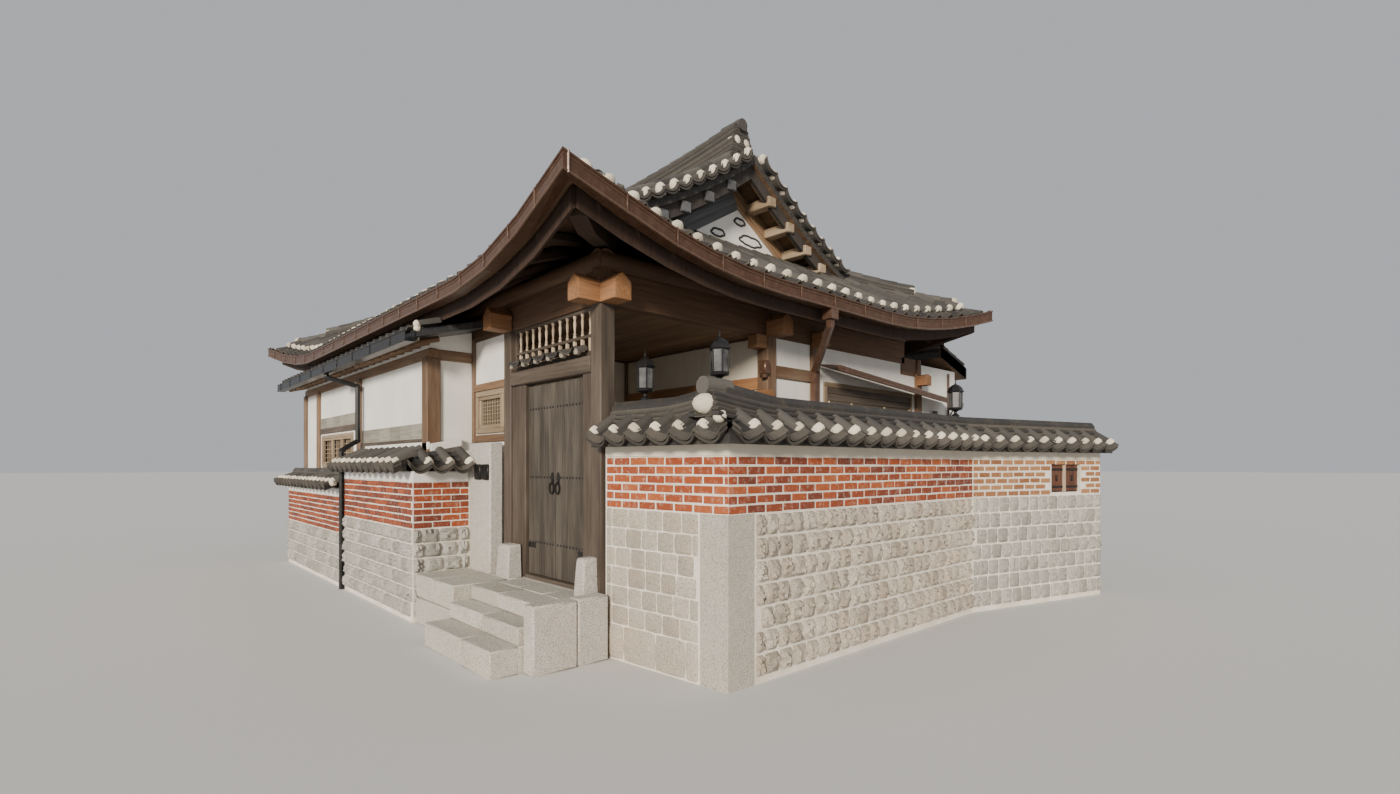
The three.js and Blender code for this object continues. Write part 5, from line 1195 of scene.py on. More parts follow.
def beam_tip(shape, x, y, out, length=BEAM_END, wide=END_WIDE, low=END_LOW, high=END_HIGH, tip=END_TIP):
    """A beam end past its post, squared below and pointed on top."""
    out = unit([*out, 0.0])
    across = np.cross(out, UP)
    middle = np.array([x, y, 0.0]) + out * (END_START + length) / 2
    half, run = wide / 2, (length - END_START) / 2
    outline = [(-half, low), (half, low), (half, high), (0.0, tip), (-half, high)]
    points = []
    for a, size in ((-1, 1.0), (0.93, 1.0), (1.0, 0.94)):
        start = middle + out * (run * a)
        points += [start + across * (b * size) + UP * ((z - low) * size + low) for b, z in outline]
    points = np.array(points)
    faces = grid_faces(3, 5, True) + [tuple(reversed(range(5))), tuple(range(10, 15))]
    faces = facing(faces, np.cross(across, UP) @ out < 0)
    grain = np.stack([points @ out, points @ across, points @ UP], 1) + RNG.random(3) * GRAIN_SPREAD
    shape.add(points, faces, None, grain)


def rail_x(shape, x0, x1, y, low, high):
    beam(shape, (x0, x1, y, y + RAIL_OUT - WALL_OUT, low, high), RAIL_BEVEL, along=0)


def rail_y(shape, x, y0, y1, low, high):
    beam(shape, (x, x + RAIL_OUT - WALL_OUT, y0, y1, low, high), RAIL_BEVEL, along=1)


def log(shape, start, end):
    rod(shape, start, end, LOG_WIDE / 2, 20)


def build_frames():
    fresh, grey, mid, dark = Shape(), Shape(), Shape(), Shape()
    for x, y in ((0, 0), (GATE_POST_X, 0)):
        post(grey, x, y)
    for x, y in ((0, HALL_BACK), (HALL_LEFT, 0), (HALL_LEFT, HALL_BACK)):
        post(mid, x, y)
    beam_x(dark, HALL_LEFT - POST / 2, 0.09, 0)
    beam_x(dark, HALL_LEFT, 0.09, HALL_BACK)
    beam_y(dark, 0, -0.09, HALL_BACK + POST / 2)
    beam_y(dark, HALL_LEFT, 0, HALL_BACK)
    for x, y, out in ((0, 0, (1, 0)), (0, 0, (0, -1)), (0, HALL_BACK, (1, 0)), (GATE_POST_X, 0, (0, -1))):
        beam_tip(fresh, x, y, out)
    beam_tip(fresh, 0, HALL_BACK, (0, -1), 0.26, 0.15, 3.17, 3.32, 3.32)
    for low, high in ((2.70, 2.85), (1.95, 2.10)):
        rail_x(fresh, HALL_LEFT + 0.05, -0.05, HALL_BACK - RAIL_OUT, low, high)
    inner = BEAM_WIDE / 2 + 0.002
    board = 0.1866
    for y in np.arange(inner, HALL_BACK - inner - 0.1, board):
        bounds = (HALL_LEFT + inner, -inner, y + 0.002, y + board - 0.002, BEAM_LOW + 0.02, BEAM_LOW + 0.04)
        beam(mid, bounds, 0.003, along=0)
    for low, high in ((2.70, 2.79), (2.07, 2.16)):
        rail_x(mid, HALL_LEFT + 0.05, GATE_POST_X - 0.05, -RAIL_OUT, low, high)
    log(dark, (HOUSE_LEFT - 0.08, 0, LOG_Z), (0.08, 0, LOG_Z))
    log(dark, (0, -0.08, LOG_Z), (0, HALL_BACK + POST / 2, LOG_Z))
    post(mid, 0, RIGHT_POST_Y)
    post(mid, 0, HOUSE_BACK, BACK_LOW + 0.04)
    start = HALL_BACK + POST / 2
    beam_y(dark, 0, start, HIGH_END)
    beam_y(dark, 0, HIGH_END - 0.1, HOUSE_BACK + POST / 2, *LOW_BEAM)
    beam_x(dark, -BEAM_END, POST / 2, HOUSE_BACK, *LOW_BEAM)
    beam_tip(fresh, 0, RIGHT_POST_Y, (1, 0), 0.24, 0.17, 3.30, 3.47, 3.50)
    beam_tip(fresh, 0, HOUSE_BACK, (1, 0), 0.24, 0.17, 3.02, 3.16, 3.19)
    rail_y(mid, WALL_OUT, start, RIGHT_POST_Y, 2.84, 2.99)
    rail_y(mid, WALL_OUT, start, HOUSE_BACK - 0.05, FLOOR_Z, FOOT_RAIL)
    log(dark, (0, start, LOG_Z), (0, HIGH_END, LOG_Z))
    for x in (-3.1, -6.0):
        post(mid, x, HOUSE_BACK, BACK_LOW + 0.04)
    beam_x(dark, HOUSE_LEFT + BEAM_END, -BEAM_END, HOUSE_BACK, *LOW_BEAM)
    rail_x(mid, HOUSE_LEFT + BEAM_END, -BEAM_END, HOUSE_BACK + WALL_OUT, FLOOR_Z, FOOT_RAIL)
    for y in (0, HOUSE_BACK / 2):
        post(mid, HOUSE_LEFT, y)
    post(mid, HOUSE_LEFT, HOUSE_BACK, BACK_LOW + 0.04)
    beam_y(dark, HOUSE_LEFT, -POST / 2, HIGH_END)
    beam_y(dark, HOUSE_LEFT, HIGH_END - 0.1, HOUSE_BACK + POST / 2, *LOW_BEAM)
    beam_x(dark, HOUSE_LEFT - POST / 2, HOUSE_LEFT + BEAM_END, HOUSE_BACK, *LOW_BEAM)
    rail_y(mid, HOUSE_LEFT - RAIL_OUT, 0, HOUSE_BACK, FLOOR_Z, FOOT_RAIL)
    log(dark, (HOUSE_LEFT, 0.11, LOG_Z), (HOUSE_LEFT, HIGH_END, LOG_Z))
    for x in (-2.8, -5.5, -7.93, -8.9):
        post(mid, x, WING_FRONT, 3.09)
    beam_x(mid, HOUSE_LEFT - POST / 2, HALL_LEFT + POST / 2, WING_FRONT, *WING_BEAM)
    beam_y(mid, HALL_LEFT, WING_FRONT, -POST / 2, *WING_BEAM)
    for x0, x1, low, high in ((-5.5, -2.8, 1.99, 2.11), (-7.93, -5.5, 2.33, 2.42), (-7.93, -5.5, 1.62, 1.72)):
        rail_x(grey, x0, x1, WING_FRONT - RAIL_OUT, low, high)
    frames = ("gate_hall_frame", "right_frame", "back_frame", "left_frame", "wing_frame")
    give(
        (dark, "frame_beams", BEAM_WOOD, "timber", *frames),
        (fresh, "beam_ends_and_rails", FRESH_WOOD, "timber"),
        (grey, "gate_posts", GREY_WOOD, "grey_timber"),
        (mid, "frame_posts", MID_WOOD, "timber"),
    )


# Gables: boards round a plaster triangle, square blocks under the verge

GABLE_X = GABLE_U - 0.008
TRIANGLE = [(0.155, 5.222), (-0.680, 4.720), (0.930, 4.735)]  # across from the middle and height
BOARDS_TOP, BOARDS_END = 5.56, 1.80  # height in the middle, and how far across they reach
CLOUDS = [  # middle, half width, half height, tilt
    (0.195, 5.068, 0.105, 0.050, 0.0),
    (-0.215, 4.832, 0.125, 0.055, 0.05),
    (0.410, 4.852, 0.220, 0.072, -0.02),
]
LOBES = [  # middle and radius of the round parts of a cloud, in parts of its half width
    (-0.58, -0.12, 0.42),
    (-0.22, 0.34, 0.55),
    (0.30, 0.30, 0.55),
    (0.62, -0.10, 0.40),
    (0.15, -0.42, 0.48),
    (-0.25, -0.38, 0.44),
]


class GablePlane:
    """The gable's outer face: across runs to the back of the house, out is away from the gable."""

    def __init__(self, end):
        self.end = end
        self.out = EAST * end
        self.axes = (NORTH, self.out, UP)

    def at(self, across, z, out=0.0):
        return np.array([MID_X + self.end * (GABLE_X + out), MID_Y + across, z])


def plate_faces(count):
    """Faces of a flat board: its outline in front, again behind, and its edges."""
    faces = [tuple(range(count)), tuple(reversed(range(count, 2 * count)))]
    return faces + [(i, count + i, count + (i + 1) % count, (i + 1) % count) for i in range(count)]


def plate(shape, front, back, out, grain):
    """A flat board between its front and back outlines; grain is made from its points."""
    points = np.array(front + back)
    normal = np.cross(points[1] - points[0], points[2] - points[0])
    shape.add(points, facing(plate_faces(len(front)), normal @ out < 0), None, grain(points))


def slab_between(shape, plane, corners, low, high, along):
    """A flat board with any four-sided outline on the gable, between two depths."""
    way = unit(np.array([0.0, along[0], along[1]]))
    axes = np.stack([way, np.array([0.0, -way[2], way[1]]), plane.out], 1)
    front = [plane.at(a, z, high) for a, z in corners]
    back = [plane.at(a, z, low) for a, z in corners]
    plate(shape, front, back, plane.out, lambda points: points @ axes + RNG.random(3) * GRAIN_SPREAD)


def cloud_line(shape, plane, a0, z0, half, high, tilt, out):
    """A closed black line with soft lobes, a common cloud motif."""
    count = 120
    rays = ring(1.0, count)
    reach = np.zeros(count)
    for x, z, size in LOBES:
        ahead = rays @ (x, z)
        room = size**2 - (x * x + z * z - ahead**2)
        reach = np.maximum(reach, np.where(room > 0, ahead + np.sqrt(np.maximum(room, 0)), 0))
    across = a0 + rays[:, 0] * reach * half
    heights = z0 + rays[:, 1] * reach * high + rays[:, 0] * reach * half * tilt
    places = np.array([plane.at(a, z, out) for a, z in zip(across, heights)])
    ahead = np.roll(places, -1, 0) - np.roll(places, 1, 0)
    ahead /= np.linalg.norm(ahead, axis=1)[:, None]
    side = np.cross(ahead, plane.out)
    outline = np.array([(-0.015, 0.0), (-0.012, 0.005), (0.012, 0.005), (0.015, 0.0)])
    points = places[:, None] + side[:, None] * outline[None, :, :1] + plane.out * outline[None, :, 1:]
    faces = [tuple(i % (count * 4) for i in face) for face in grid_faces(count + 1, 4)]
    shape.add(points.reshape(-1, 3), facing(faces, plane.end < 0))


def gable_boards(shape, plane, face, foot):
    """Boards between the plaster triangle and the verge on one side, each a little proud of the next."""
    apex, foot = np.array(TRIANGLE[0]), np.array(foot)
    top = np.array([0.0, BOARDS_TOP])
    end = np.array([BOARDS_END * face, rake_z(BOARDS_END) - 0.14])
    count = 4
    for i in range(count):
        inner, outer = [], []
        for part in (i / count, (i + 1) / count - 0.012):
            inner.append(apex * (1 - part) + top * part)
            outer.append(foot * (1 - part) + end * part)
        corners = [inner[0], outer[0], outer[1], inner[1]]
        slab_between(shape, plane, corners, 0.0, 0.022 + 0.006 * (i % 2), foot - apex)


def build_gables():
    boards, warm, plaster, lines, trim, blocks = (Shape() for _ in range(6))
    for end in (1, -1):
        plane = GablePlane(end)
        slab_between(plaster, plane, TRIANGLE, 0.0, 0.012, (1, 0))
        # Painted shade: the boards on the front side get the blue-grey copy of the gable wood.
        gable_boards(boards, plane, -1, TRIANGLE[1])
        # Painted sunlight: the boards on the back side get the warm copy of the gable wood.
        gable_boards(warm, plane, 1, TRIANGLE[2])
        for cloud in CLOUDS:
            cloud_line(lines, plane, *cloud, 0.0125)
        for face in (-1, 1):
            for dy in (0.38, 0.76, 1.14, 1.48):
                middle = plane.at(face * dy, rake_z(dy) - 0.22, 0.22)
                # The blocks too: painted shade on the front side, in with the blue-grey boards, and painted
                # sunlight on the back side.
                shape = boards if face < 0 else blocks
                block(shape, middle, (plane.out, NORTH, UP), (0.45, 0.150, 0.130), 0.012, None, 0)
            rake = np.linspace(0.0, RAKE_FOOT, 12)
            places = np.array([plane.at(face * dy, rake_z(dy) - 0.19, 0.37) for dy in rake])
            outline = [(-0.028, -0.095), (0.028, -0.095), (0.028, 0.085), (-0.028, 0.085)]
            tube(boards if face < 0 else warm, places, plane.out, UP, outline)
        foot = np.array([plane.at(a, 4.600, 0.06) for a in np.linspace(-1.65, 1.65, 12)])
        ridge_caps(trim, foot, 0.050, 0.25)
        outline = [(-0.06, -0.02), (0.075, -0.02), (0.080, 0.0), (0.075, 0.02), (-0.06, 0.02)]
        for layer in range(2):
            tube(trim, foot - UP * (0.045 + 0.045 * layer), plane.out, UP, outline)
        outline = [(-0.07, -0.14), (0.055, -0.14), (0.055, 0.0), (-0.07, 0.0)]
        tube(plaster, foot, plane.out, UP, outline)
    give(
        (boards, "gable_painted_shade_boards", SHADE_SIDE_GABLE_WOOD, "grey_timber"),
        (warm, "gable_painted_sunlit_boards", SUN_SIDE_GABLE_WOOD, "timber"),
        (blocks, "gable_painted_sunlit_blocks", SUN_SIDE_BLOCK_WOOD, "timber"),
        (plaster, "gable_plaster", PLASTER, "plaster"),
        (lines, "gable_clouds", INK, None),
        (trim, "gable_foot_tiles", TILE, "tile"),
    )


# Gutters: beads along the rims and strap hangers over the face

GUTTER_OUT, GUTTER_HIGH, GUTTER_LOW = 0.126, -0.030, -0.180
GUTTER_STATIONS = 15
STRAP_PITCH, STRAP_WIDE = 0.60, 0.016
BEADS = ((GUTTER_HIGH - 0.006, 0.013), (GUTTER_HIGH - 0.042, 0.006), (GUTTER_LOW + 0.008, 0.013))


def gutter_stations(spot, face, half):
    values = np.linspace(-half, half, GUTTER_STATIONS)
    return np.array([spot(face, v, inset(half - abs(v))) for v in values])


def build_gutter_trim():
    shape, edge = Shape(), Shape()
    for face in (-1, 1):
        one = gutter_stations(slope_spot, face, HALF_X)[::-face]
        two = gutter_stations(skirt_spot, -face, HALF_Y)[::-face]
        path = np.concatenate([one, two[1:]])
        flat = offset_path(path[:, :2], GUTTER_OUT)
        ends = slice(0, None) if face < 0 else slice(1, -1)
        line = np.column_stack([flat, path[:, 2]])[ends]
        for part, (z, radius) in zip((shape, shape, edge), BEADS):
            places, across, up = ridge_frames(line + UP * z)
            tube(part, places, across, up, ring(radius, 8))
        lengths = lengths_along(line)
        normals = offset_path(path[:, :2], GUTTER_OUT + 0.1)[ends] - flat[ends]
        for s in np.arange(0.35, lengths[-1] - 0.2, STRAP_PITCH):
            middle = np.array([np.interp(s, lengths, line[:, i]) for i in range(3)])
            out = unit([np.interp(s, lengths, normals[:, 0]), np.interp(s, lengths, normals[:, 1]), 0])
            axes = (out, np.cross(out, UP), UP)
            face_spot = middle + UP * (GUTTER_HIGH + GUTTER_LOW) / 2 + out * 0.008
            block(edge, face_spot, axes, (0.006, STRAP_WIDE, GUTTER_HIGH - GUTTER_LOW + 0.016), 0.002)
            top = middle + UP * (GUTTER_HIGH + 0.008) - out * 0.06
            block(shape, top, axes, (0.13, STRAP_WIDE, 0.005), 0.001)
    give((shape, "gutter_trim", GUTTER_BROWN, "gutter"), (edge, "gutter_edges", GUTTER_EDGE, "gutter"))


# Gate: plank leaves with nails and rings, and a row of turned balusters

DOOR_LEFT, DOOR_RIGHT, DOOR_LOW, DOOR_HIGH, DOOR_HALF = -1.405, -0.255, 0.600, 2.655, 0.025
LEAVES = {"left": (-1.395, -0.836), "right": (-0.824, -0.265)}
NAIL_ROWS = (2.40, 1.66, 0.955)
LINTEL_LOW, LINTEL_HIGH = 2.68, 2.84
FRAME_ENDS = (-1.7147, -0.0853)
PLANKS = 5
RING_Z = 1.60


def dome(shape, centre, out, radius, high, sides=8):
    """A low round head, such as a nail's."""
    out = unit(out)
    across = unit(np.cross(out, UP if abs(out[2]) < 0.9 else EAST))
    up = np.cross(across, out)
    rings = []
    for depth, size in ((0.0, 1.0), (0.6, 0.8), (1.0, 0.3)):
        rings.append(on_plane(centre + out * high * depth, ring(radius * size, sides), across, up))
    faces = grid_faces(3, sides, True) + [tuple(range(2 * sides, 3 * sides))]
    shape.add(np.concatenate(rings), facing(faces, np.cross(across, up) @ out < 0))


def hoop(shape, centre, across, up, radius, thick, tall):
    """A ring of round bar in the plane of across and up."""
    sides, round_sides = 24, 8
    out = np.cross(across, up)
    points = []
    for turn in np.arange(sides) * 2 * math.pi / sides:
        radial = across * math.cos(turn) + up * math.sin(turn) * tall
        points.append(on_plane(centre + radial * radius, ring(thick, round_sides), unit(radial), out))
    grid = np.concatenate(points)
    faces = grid_faces(sides + 1, round_sides, True)
    faces = [tuple(i % len(grid) for i in face) for face in faces]
    spots = grid[list(faces[0])]
    normal = np.cross(spots[1] - spots[0], spots[2] - spots[0])
    outward = spots.mean(0) - centre - across * radius
    shape.add(grid, facing(faces, normal @ outward < 0))


def build_gate_leaf(side):
    x0, x1 = LEAVES[side]
    left = side == "left"
    wood, iron = Shape(), Shape()
    wide = (x1 - x0) / PLANKS
    for i in range(PLANKS):
        first, last = x0 + i * wide, x0 + (i + 1) * wide
        front = RNG.uniform(0, 0.0015) - DOOR_HALF
        beam(wood, (first + 0.0012, last - 0.0012, front, 0.006, DOOR_LOW, DOOR_HIGH), 0.004, along=2)
    for z in (0.78, 1.64, 2.42):
        beam(wood, (x0 + 0.01, x1 - 0.01, 0.004, DOOR_HALF, z - 0.05, z + 0.05), 0.006, along=0)
    pivot = x0 + 0.008 if left else x1 - 0.008
    rod(wood, (pivot, 0.017, 0.5885), (pivot, 0.017, 2.679), 0.008, 12)
    for z in NAIL_ROWS:
        for x in np.linspace(x0 + 0.04, x1 - 0.04, 9):
            dome(iron, (x, -DOOR_HALF, z), -NORTH, 0.0135, 0.009)
    plate_x = x1 - 0.052 if left else x0 + 0.052
    outline = ring(1.0, 20) * (0.031, 0.070)
    centres = [(plate_x, y, RING_Z + 0.045) for y in (-DOOR_HALF + 0.001, -DOOR_HALF - 0.005)]
    tube(iron, centres, EAST, UP, outline)
    dome(iron, (plate_x, -DOOR_HALF - 0.005, RING_Z + 0.03), -NORTH, 0.014, 0.014, 10)
    hoop(iron, np.array((plate_x, -DOOR_HALF - 0.015, RING_Z - 0.052)), EAST, UP, 0.042, 0.0085, 1.35)
    strap_z = 0.915 if left else 0.905
    strap = (x0 - 0.002, x0 + 0.15) if left else (x1 - 0.13, x1 + 0.002)
    beam(iron, (*strap, -DOOR_HALF - 0.004, -DOOR_HALF + 0.001, strap_z - 0.028, strap_z + 0.028), 0.001)
    give(
        # The planks carry the door wood darkened as painted shade.
        (wood, f"gate_planks_{side}", SHADED_DOOR_WOOD, "grey_timber", f"gate_leaf_{side}"),
        (iron, f"gate_fittings_{side}", BLACK_METAL, "black_metal", f"ring_pull_{side}"),
        body=f"{side}_leaf",
    )


def lathe(shape, x, y, profile, sides=14, start=0.0):
    """A turned or many-sided upright, from pairs of radius and height."""
    outline = np.stack([ring(r, sides, start) for r, _ in profile])
    tube(shape, [(x, y, z) for _, z in profile], EAST, NORTH, outline)


BALUSTER = [
    (0.0, 3.055), (0.016, 3.056), (0.016, 3.085), (0.009, 3.092), (0.017, 3.104), (0.008, 3.118),
    (0.012, 3.150), (0.016, 3.210), (0.010, 3.250), (0.018, 3.266), (0.018, 3.290), (0.0, 3.291),
]
LINTEL_TILES, LINTEL_ROW = 6, 0.265


def build_gate_surround():
    wood, pale, tiles, ends = Shape(), Shape(), Shape(), Shape()
    left, right = FRAME_ENDS
    for x0, x1 in ((left, DOOR_LEFT), (DOOR_RIGHT, right)):
        beam(wood, (x0, x1, -0.065, 0.045, FLOOR_Z, LINTEL_LOW + 0.01), 0.010, along=2)
    beam(wood, (left, right, -0.095, 0.055, LINTEL_LOW, LINTEL_HIGH), 0.012, along=0)
    beam(wood, (left, right, -0.060, 0.040, FLOOR_Z, 0.588), 0.008, along=0)
    for low, high in ((2.840, 2.900), (3.030, 3.062), (3.285, 3.320)):
        beam(wood, (left, right, -0.032, 0.012, low, high), 0.006, along=0)
    for x in (left + 0.02, right - 0.02):
        beam(wood, (x - 0.02, x + 0.02, -0.03, 0.01, 2.84, 3.32), 0.005, along=2)
    for x in np.linspace(left + 0.11, right - 0.11, 11):
        lathe(pale, x, -0.010, BALUSTER)
        beam(pale, (x - 0.015, x + 0.015, -0.025, 0.005, 2.898, 3.032), 0.003, along=2)
    side = lambda t: EAST
    for i in range(LINTEL_TILES):
        x = left + 0.16 + i * LINTEL_ROW
        spot = lambda t, x=x: np.array([x, -0.150 + t, 2.862 + 0.35 * t])
        cap_row(tiles, spot, side, 0.0, 0.12, 0.050, 0.13, 0.02)
        # The plaster ends use the lime darkened as painted shade.
        end_plug(ends, np.array([x, -0.150, 2.880]), EAST, UP, -NORTH, 0.036, 0.026, 0.015)
    for i in range(LINTEL_TILES - 1):
        x = left + 0.293 + i * LINTEL_ROW
        spot = lambda t, x=x: np.array([x, -0.170 + t, 2.855 + 0.35 * t])
        channel_row(tiles, spot, side, 0.0, 0.14, 0.125)
    give(
        (wood, "gate_surround", GREY_WOOD, "grey_timber", "gate_frame", "gate_transom"),
        (pale, "gate_balusters", PALE_WOOD, "lattice"),
        (tiles, "lintel_tiles", TILE, "tile"),
        (ends, "lintel_tile_ends", SHADED_LIME, "plaster"),
    )


# Windows: wooden frames with lattices over dark panes


class Opening:
    """A wall opening seen from outside: across it, out of it, and up, about its lower left corner."""

    def __init__(self, corner, across, out):
        self.corner, self.across, self.out = np.array(corner, float), across, out
        self.axes = (across, out, UP)

    def bar(self, shape, a0, a1, z0, z1, o0, o1, bevel=0.003, along=None):
        low, high = np.array([a0, o0, z0]), np.array([a1, o1, z1])
        middle = (low + high) / 2
        centre = self.corner + self.across * middle[0] + self.out * middle[1] + UP * middle[2]
        size = high - low
        block(shape, centre, self.axes, size, bevel, None, int(size.argmax()) if along is None else along)


def lattice_bars(shape, opening, span, heights, columns, rows, bar, out):
    (a0, a1), (z0, z1) = span, heights
    for i in range(1, columns):
        a = a0 + (a1 - a0) * i / columns
        opening.bar(shape, a - bar / 2, a + bar / 2, z0, z1, *out, 0.001)
    for i in range(1, rows):
        z = z0 + (z1 - z0) * i / rows
        opening.bar(shape, a0, a1, z - bar / 2, z + bar / 2, out[0], out[1] - 0.002, 0.001)


def window_frame(shape, opening, wide, high, depth, board):
    opening.bar(shape, 0, wide, 0, board, *depth, 0.006)
    opening.bar(shape, 0, wide, high - board, high, *depth, 0.006)
    opening.bar(shape, 0, board, board, high - board, *depth, 0.006)
    opening.bar(shape, wide - board, wide, board, high - board, *depth, 0.006)


def build_windows():
    wood, bars, panes, planks, ornaments = (Shape() for _ in range(5))
    gate = Opening((-2.67, -0.050, 2.175), EAST, -NORTH)
    window_frame(wood, gate, 0.74, 0.515, (-0.06, 0.022), 0.062)
    window_frame(wood, Opening((-2.61, -0.050, 2.235), EAST, -NORTH), 0.62, 0.395, (-0.06, 0.004), 0.045)
    gate.bar(panes, 0.1, 0.64, 0.1, 0.415, -0.045, -0.035, 0.001)
    lattice_bars(bars, gate, (0.10, 0.64), (0.10, 0.415), 8, 7, 0.009, (-0.036, -0.020))
    wing = Opening((-7.70, WING_FRONT - 0.050, 1.750), EAST, -NORTH)
    window_frame(wood, wing, 1.84, 0.55, (-0.06, 0.020), 0.055)
    wing.bar(panes, 0.05, 1.79, 0.05, 0.50, -0.050, -0.040, 0.001)
    for i in range(3):
        a0, a1 = 0.06 + i * 0.58, 0.06 + (i + 1) * 0.58 - 0.02
        sash = Opening((-7.70 + a0, WING_FRONT - 0.055, 1.80), EAST, -NORTH)
        window_frame(wood, sash, a1 - a0, 0.45, (-0.03, 0.006), 0.045)
        lattice_bars(bars, wing, (a0 + 0.045, a1 - 0.045), (0.095, 0.455), 4, 5, 0.012, (-0.040, -0.018))
    right = Opening((0.050, 3.42, 2.05), NORTH, EAST)
    window_frame(wood, right, 2.24, 0.83, (-0.07, 0.020), 0.06)
    right.bar(panes, 0.05, 2.19, 0.05, 0.78, -0.065, -0.055, 0.001)
    for i in range(3):
        z = 0.50 + i * 0.092
        right.bar(planks, 0.06, 2.18, z, z + 0.088, -0.03 + 0.006 * i, 0.004 + 0.004 * i, 0.004)
    right.bar(wood, 0.06, 2.18, 0.455, 0.50, -0.04, 0.006, 0.004)
    lattice_bars(bars, right, (0.07, 2.17), (0.06, 0.455), 56, 5, 0.014, (-0.040, -0.020))
    for a in (0.10, 0.62, 1.45, 2.14):
        ornament_post(ornaments, right, a)
    back = Opening((-3.50, HOUSE_BACK + 0.050, 1.50), -EAST, NORTH)
    left = Opening((HOUSE_LEFT - 0.050, 2.30, 1.50), -NORTH, -EAST)
    plain = ((back, 2.10, 4), (left, 1.60, 3))
    for opening, wide, _ in plain:
        window_frame(wood, opening, wide, 1.20, (-0.06, 0.020), 0.06)
        opening.bar(panes, 0.05, wide - 0.05, 0.05, 1.15, -0.050, -0.040, 0.001)
    for opening, wide, leaves in plain:
        step = (wide - 0.12) / leaves
        for i in range(leaves):
            a0 = 0.06 + i * step
            span = (a0 + 0.03, a0 + step - 0.03)
            lattice_bars(bars, opening, span, (0.08, 1.12), 5, 9, 0.012, (-0.040, -0.018))
            for a in (a0, a0 + step - 0.03):
                opening.bar(wood, a, a + 0.03, 0.06, 1.14, -0.045, -0.004, 0.003)
    nodes = ("gate_side_window", "wing_window", "right_window", "back_window", "left_window")
    give(
        (wood, "window_frames", LATTICE, "lattice", *nodes),
        (bars, "window_lattices", LATTICE, "lattice"),
        (panes, "window_panes", PANE, "lattice"),
        (planks, "window_planks", GREY_WOOD, "lattice"),
        (ornaments, "window_ornaments", PALE_WOOD, "lattice"),
    )


def ornament_post(shape, opening, a):
    """A flat board cut to a point with shoulders, standing over the window's lattice."""
    half = [(0.030, 0.05), (0.030, 0.33), (0.052, 0.35), (0.052, 0.44), (0.034, 0.475), (0.040, 0.50)]
    half += [(0.018, 0.53), (0.010, 0.575), (0.0, 0.585)]
    outline = [(w, z) for w, z in half] + [(-w, z) for w, z in reversed(half[:-1])]
    front = [opening.corner + opening.across * (a + w) + UP * z + opening.out * 0.022 for w, z in outline]
    back = [spot - opening.out * 0.030 for spot in front]
    axes = np.stack([UP, opening.across, opening.out], 1)
    plate(shape, front, back, opening.out, lambda points: points @ axes)


# Lanterns: six-sided cages with glass under a small domed roof

LANTERNS = {
    "front_lantern": (0.470, 0.142, 2.380),
    "corner_lantern": (1.340, 0.242, 2.448),
    "far_lantern": (1.478, 4.150, 2.380),
}
SIDES, TURNED, LANTERN_BAR = 6, math.pi / 6, 0.006
LANTERN_FOOT = [
    (0.0, 0.0), (0.046, 0.001), (0.048, 0.018), (0.030, 0.030), (0.018, 0.040), (0.018, 0.060),
    (0.040, 0.074), (0.078, 0.084), (0.082, 0.100), (0.074, 0.108), (0.0, 0.109),
]
LANTERN_ROOF = [
    (0.0, 0.298), (0.100, 0.300), (0.103, 0.308), (0.088, 0.322), (0.080, 0.345), (0.060, 0.370),
    (0.034, 0.388), (0.014, 0.396), (0.008, 0.402), (0.011, 0.412), (0.007, 0.422), (0.004, 0.455),
    (0.0, 0.459),
]


def build_lanterns():
    for name, (x, y, foot) in LANTERNS.items():
        metal, glass = Shape(), Shape()
        raised = lambda profile: [(r, foot + z) for r, z in profile]
        lathe(metal, x, y, raised(LANTERN_FOOT), 12, TURNED)
        low, high = foot + 0.106, foot + 0.300
        lower, upper = (
            [(x + a, y + b, z) for a, b in ring(radius, SIDES, TURNED)]
            for radius, z in ((0.076, low), (0.080, high))
        )
        for loop in (lower, upper):
            for one, two in zip(loop, loop[1:] + loop[:1]):
                rod(metal, one, two, LANTERN_BAR, 6)
        for one, two in zip(lower, upper):
            rod(metal, one, two, LANTERN_BAR, 6)
        pane = [(0.0, low - 0.002), (0.070, low), (0.074, high), (0.0, high + 0.002)]
        lathe(glass, x, y, pane, SIDES, TURNED)
        lathe(metal, x, y, raised(LANTERN_ROOF), SIDES, TURNED)
        give(
            (metal, f"{name}_cage", BLACK_METAL, "black_metal", name),
            (glass, f"{name}_glass", GLASS, "black_metal"),
        )


# Stone steps, cheek stone, pier and the blocks at the foot of the house


def slabs(shape, x_edges, bounds, bevel=0.012, joint=0.004):
    """A stone course split at the given x, each slab a little different."""
    y0, y1, z0, z1 = bounds
    for a, b in zip(x_edges[:-1], x_edges[1:]):
        trim = RNG.uniform(0, 0.004, 2)
        beam(shape, (a + joint / 2, b - joint / 2, y0 + trim[0], y1, z0, z1 - trim[1]), bevel)


